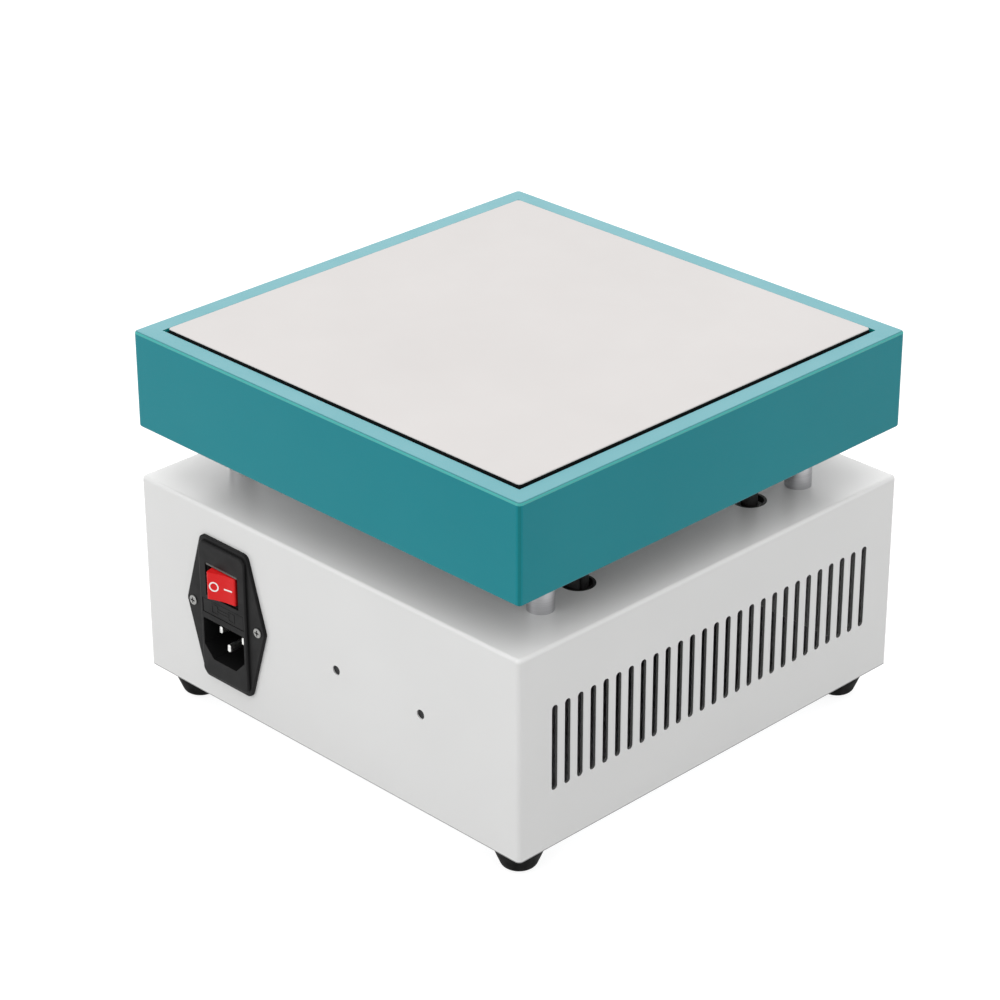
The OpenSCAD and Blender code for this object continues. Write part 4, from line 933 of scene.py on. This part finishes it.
# %% [markdown]
# The fuse sits in a drawer that pulls out between the rocker and the socket. The drawer is a block with two
# troughs, and on its face stands the usual drawing of a fuse: two caps with the tube between them. The drawing
# is built from three thin frames with rounded edges, sunk a little into the face so that nothing floats.

# %% Fuse drawer
drawer_back, drawer_face = block_y - drawer_depth, block_y - 0.12
trough_half, trough_w, trough_floor = 10.1, 5.4, -1.0
drawer = across(at_inlet, "drawer_body", drawer_half_w, drawer_back, drawer_face, drawer_low, drawer_high)
for back_y in (block_y - 14.8, block_y - 8.4):
    low = at_inlet(-trough_half, back_y, trough_floor)
    cut_block(drawer, low, at_inlet(trough_half, back_y + trough_w, outside))
soften(drawer, 0.22)


def face_block(x0, x1, z0, z1):
    """A low block on the drawer's face."""
    return add_block("fuse_sign", at_inlet(x0, block_y - 0.3, z0), at_inlet(x1, block_y, z1))


def cut_through(piece, x0, x1, z0, z1):
    cut_block(piece, at_inlet(x0, block_y - 1, z0), at_inlet(x1, block_y + 1, z1))


line, cap_x, cap_half, cap_low, cap_high = 0.45, 5.2, 1.9, -0.6, 3.6
tube_half, tube_low, tube_high = 3.4, 0.6, 2.45
fuse_sign = face_block(-tube_half, tube_half, tube_low, tube_high)
cut_through(fuse_sign, -tube_half - 1, tube_half + 1, tube_low + line, tube_high - line)
for x in (-cap_x, cap_x):
    left, right = x - cap_half, x + cap_half
    cap = face_block(left, right, cap_low, cap_high)
    cut_through(cap, left + line, right - line, cap_low + line, cap_high - line)
    combine(fuse_sign, cap, "UNION")
soften(fuse_sign, 0.06)
hand_over(drawer, inlet_plastic, "fuse_drawer", "inlet_plastic", "fuse_drawer")
hand_over(fuse_sign, inlet_plastic, "fuse_drawer", "inlet_plastic")

# %% [markdown]
# The two inlet screws have low round heads with a cross recess. One is modelled and copied. The head starts as
# a cylinder whose front edge gets a bevel, which makes the dome, and two crossed blocks cut the recess.

# %% Inlet screws
head_r, head_h = 2.15, 0.6
head_middle = at_inlet(-screw_x, flange_t + head_h / 2, 0)
screw = add_rod("inlet_screw_1", head_middle, head_r * mm, head_h * mm, "Y", 40)
round_edges(screw, from_y(panel_y + (flange_t + head_h) * mm), 0.4, 4)
for wide, tall in ((1.25, 0.3), (0.3, 1.25)):
    cut_block(screw, at_inlet(-screw_x - wide, flange_t - 0.4, -tall), at_inlet(-screw_x + wide, outside, tall))
combine(screw, add_rod("shank", at_inlet(-screw_x, -2.6, 0), 1.5 * mm, 7.6 * mm, "Y", 24), "UNION")
soften(screw, 0.05)
second = copy_of(screw, "inlet_screw_2", (2 * screw_x * mm, 0, 0))

screw_nickel = start_finish("screw_nickel", (0.6, 0.6, 0.6), 0.45, 1.0)
shift_colour(screw_nickel, 2, (0.54, 0.54, 0.54), (0.64, 0.64, 0.63), detail=3)
shift_gloss(screw_nickel, 1, 0.36, 0.5)
raise_grain(screw_nickel, 0.25, 0.006, 0.25)
hand_over(screw, screw_nickel, "base", "zinc_steel", "inlet_screws")
hand_over(second, screw_nickel, "base", "zinc_steel")

# %% [markdown]
# The case stands on four rubber feet, cones that narrow to the bench, each with a pocket from below for its
# screw. A cone primitive would do, but a cylinder whose lower ring is drawn in keeps one clean ring to bevel,
# and that bevel is the soft edge on which the foot stands. One foot is modelled, and three copies go to the
# other corners.

# %% Rubber feet
foot_low, foot_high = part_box("rubber_foot_1")
foot_centre = (foot_low + foot_high) / 2
top_r, ground_r, pocket_r, pocket_h, bore_r = 12.1, 6.8, 3.05, 6, 1.7
foot = add_rod("foot_cone_1", foot_centre, top_r * mm, foot_high.z - foot_low.z, sides=64)
draw_in = (ground_r / top_r, ground_r / top_r, 1)
edit_points(foot, lambda p: p.z < foot_low.z + hair, resize, value=draw_in, center_override=foot_centre)
round_edges(foot, lambda a, b: max(a.z, b.z) < foot_low.z + hair, 2, 6)
pocket_centre = Vector((foot_centre.x, foot_centre.y, foot_low.z))
combine(foot, add_rod("pocket_cut", pocket_centre, pocket_r * mm, 2 * pocket_h * mm), "DIFFERENCE")
combine(foot, add_rod("bore_cut", foot_centre, bore_r * mm, 30 * mm), "DIFFERENCE")
soften(foot, 0.15)
feet = [foot]
for i in (2, 3, 4):
    feet.append(copy_of(foot, f"foot_cone_{i}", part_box(f"rubber_foot_{i}")[0] - foot_low))
for i, cone in enumerate(feet):
    hand_over(cone, foot_rubber, "base", "foot_rubber", f"rubber_foot_{i + 1}")

# %% [markdown]
# The front carries a panel controller, a moulded case with a square bezel, a dark window for the digits and
# four keys. The bezel starts as a block whose corners and front edges are rounded. The body behind it is joined
# on, hollowed out, and the windows are cut through the bezel, each with a fine bevel that catches the light.

# %% Controller case
ctrl_low, ctrl_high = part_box("controller_case")
front_panel_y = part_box("base_cover")[0].y
ctrl_centre = Vector(((ctrl_low.x + ctrl_high.x) / 2, front_panel_y, (ctrl_low.z + ctrl_high.z) / 2))
bezel_y = (front_panel_y - ctrl_low.y) / mm
bezel_half = (ctrl_high.x - ctrl_low.x) / 2 / mm


def at_ctrl(x, y, z):
    """A place in millimetres from the controller's middle, with y outward from the front panel."""
    return ctrl_centre + Vector((x, -y, z)) * mm


bezel = across(at_ctrl, "controller_moulding", bezel_half, 0, bezel_y, -bezel_half, bezel_half)
round_edges(bezel, along_y, 2, 6)
round_edges(bezel, up_to_y(ctrl_low.y), 1.1, 4)
sleeve_end = (front_panel_y - ctrl_high.y) / mm
body_half, inner_half, bezel_back = 22.3, 20.5, bezel_y - 2.5
sleeve = across(at_ctrl, "sleeve", body_half, sleeve_end, 0.5, -body_half, body_half)
combine(bezel, sleeve, "UNION")
hollow = across(at_ctrl, "hollow", inner_half, sleeve_end - 1, bezel_back, -inner_half, inner_half)
combine(bezel, hollow, "DIFFERENCE")
board_back = (front_panel_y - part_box("display_board")[1].y) / mm
rest_in, rest_out = 16.5, 21
for sx in (-1, 1):
    for sz in (-1, 1):
        low = at_ctrl(sx * rest_in, board_back - 10, sz * rest_in)
        high = at_ctrl(sx * rest_out, board_back, sz * rest_out)
        combine(bezel, add_block("board_rest", low, high), "UNION")
print("controller", len(bezel.data.polygons), "faces, bezel", round(bezel_y, 2), "mm proud")

# %% [markdown]
# The lens lies in a stepped window: a shallow seat as large as the lens, and a smaller opening behind it that
# holds it back. Four windows for the keys follow below. The lens itself is a thin block with rounded corners.

# %% Windows for the lens and the keys
lens_z, lens_w, lens_h, lens_t, lens_ledge = 9, 40, 20, 1.4, 2
for shrink, start in ((0, bezel_y - lens_t), (lens_ledge, bezel_back - 0.5)):
    x, z = lens_w / 2 - shrink, lens_h / 2 - shrink
    cut_block(bezel, at_ctrl(-x, start, lens_z - z), at_ctrl(x, bezel_y + 1, lens_z + z))
key_places = [-15, -5, 5, 15]
key_z, key_half_w, key_half_h = -13, 3.5, 2.5
for x in key_places:
    low = at_ctrl(x - key_half_w, bezel_back - 0.5, key_z - key_half_h)
    cut_block(bezel, low, at_ctrl(x + key_half_w, bezel_y + 1, key_z + key_half_h))
soften(bezel, 0.22)
hand_over(bezel, black_plastic, "base", "controller_plastic", "controller_case")

play = 0.2
x, z = lens_w / 2 - play, lens_h / 2 - play
lens = across(at_ctrl, "smoked_window", x, bezel_y - lens_t, bezel_y, lens_z - z, lens_z + z)
round_edges(lens, along_y, 0.6, 3)
soften(lens, 0.25, 3)
hand_over(lens, smoked_lens, "base", "lens_plastic", "controller_lens")

# %% [markdown]
# Each key is a small cap with a flange behind the bezel, so that it can't fall out, and a nub that presses its
# switch. One key is modelled and copied to the other three places. Their signs are a ring to choose, and arrows
# to move the digit and to change it: a cylinder with three sides makes an arrow.

# %% Keys and their signs
cap_y = (front_panel_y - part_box("key_1")[0].y) / mm - 0.1
flange_y0 = bezel_back - 1.1
key_x, cap_half_w, cap_half_h, rim = key_places[0], 3.3, 2.3, 1


def key_block(name, grow, y1):
    """A block over the first key's place, larger than its cap by this much."""
    w, h = cap_half_w + grow, cap_half_h + grow
    return add_block(name, at_ctrl(key_x - w, flange_y0, key_z - h), at_ctrl(key_x + w, y1, key_z + h))


key = key_block("key_cap_1", 0, cap_y)
round_edges(key, along_y, 0.7, 3)
round_edges(key, up_to_y(at_ctrl(0, cap_y, 0).y), 0.45, 3)
combine(key, key_block("key_flange", rim, flange_y0 + 1), "UNION")
nub = add_rod("key_nub", at_ctrl(key_x, flange_y0 - 0.15, key_z), 1.5 * mm, 1.3 * mm, "Y", 24)
combine(key, nub, "UNION")
soften(key, 0.08)
keys = [key]
for i in (1, 2, 3):
    keys.append(copy_of(key, f"key_cap_{i + 1}", ((key_places[i] - key_x) * mm, 0, 0)))
for i, cap in enumerate(keys):
    hand_over(cap, key_grey, f"key_{i + 1}", "key_plastic", f"key_{i + 1}")

sign = add_ring("key_sign_1", at_ctrl(key_x, cap_y - 0.2, key_z), 1.2 * mm, 0.35 * mm, -0.28 * mm)
hand_over(sign, white_fill, "key_1", "key_plastic")
for i, turn in ((1, 180), (2, 90), (3, 270)):
    centre = at_ctrl(key_places[i], cap_y - 0.06, key_z)
    arrow = add_rod(f"key_sign_{i + 1}", centre, 1.35 * mm, 0.28 * mm, "Y", 3)
    turn_about(arrow, centre, (0, math.radians(turn), 0))
    round_edges(arrow, along_y, 0.15, 2)
    hand_over(arrow, white_fill, f"key_{i + 1}", "key_plastic")

# %% [markdown]
# The digits are the usual seven bars, which glow red behind the window. One bar with pointed ends is modelled,
# and each number is a choice of the seven places where a copy of it stands. The bars lie on the front of the
# two digit blocks, one row for the measured heat and one for the heat that was set.

# %% Digits
red_glow = start_finish("red_glow", (0.9, 0.1, 0.06), 0.4)
shift_colour(red_glow, 1, (0.85, 0.08, 0.05), (0.95, 0.13, 0.08))
shift_gloss(red_glow, 0.6, 0.34, 0.46)
fill(shader_of(red_glow), Emission_Color=(1.0, 0.05, 0.02, 1.0), Emission_Strength=4.0)

digit_y = (front_panel_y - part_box("display_digits")[0].y) / mm
bar_l, bar_w = 2.7, 0.62
places = {
    "top": (0, 2.9, 0),
    "middle": (0, 0, 0),
    "bottom": (0, -2.9, 0),
    "upper left": (-1.45, 1.45, 90),
    "upper right": (1.45, 1.45, 90),
    "lower left": (-1.45, -1.45, 90),
    "lower right": (1.45, -1.45, 90),
}
unlit = {
    "1": ("top", "middle", "bottom", "upper left", "lower left"),
    "5": ("upper right", "lower left"),
    "8": (),
    "0": ("middle",),
}
bar_corner = Vector((bar_l / 2, 0, bar_w / 2)) * mm
glow_bar = add_block("glow_bar", -bar_corner, bar_corner + Vector((0, 0.2 * mm, 0)))
round_edges(glow_bar, along_y, 0.28, 1)
digit_step, row_step = 7, 4.3
for name, row, number in (("upper", 1, "185"), ("lower", -1, "180")):
    lit_bars = []
    for column, digit in enumerate(number):
        for place, (x, z, turn) in places.items():
            if place in unlit[digit]:
                continue
            spot = at_ctrl(digit_step * (column - 1) + x, digit_y + 0.1, lens_z + row * row_step + z)
            glow_bar.rotation_euler = (0, math.radians(turn), 0)
            lit_bars.append(copy_of(glow_bar, "lit_bar", spot))
    digits = lit_bars[0]
    alone(digits)
    for lit_bar in lit_bars:
        lit_bar.select_set(True)
    bpy.ops.object.join()
    digits.name = digits.data.name = f"digits_{name}"
    hand_over(digits, red_glow, "base", "controller_plastic")
bpy.data.objects.remove(glow_bar)
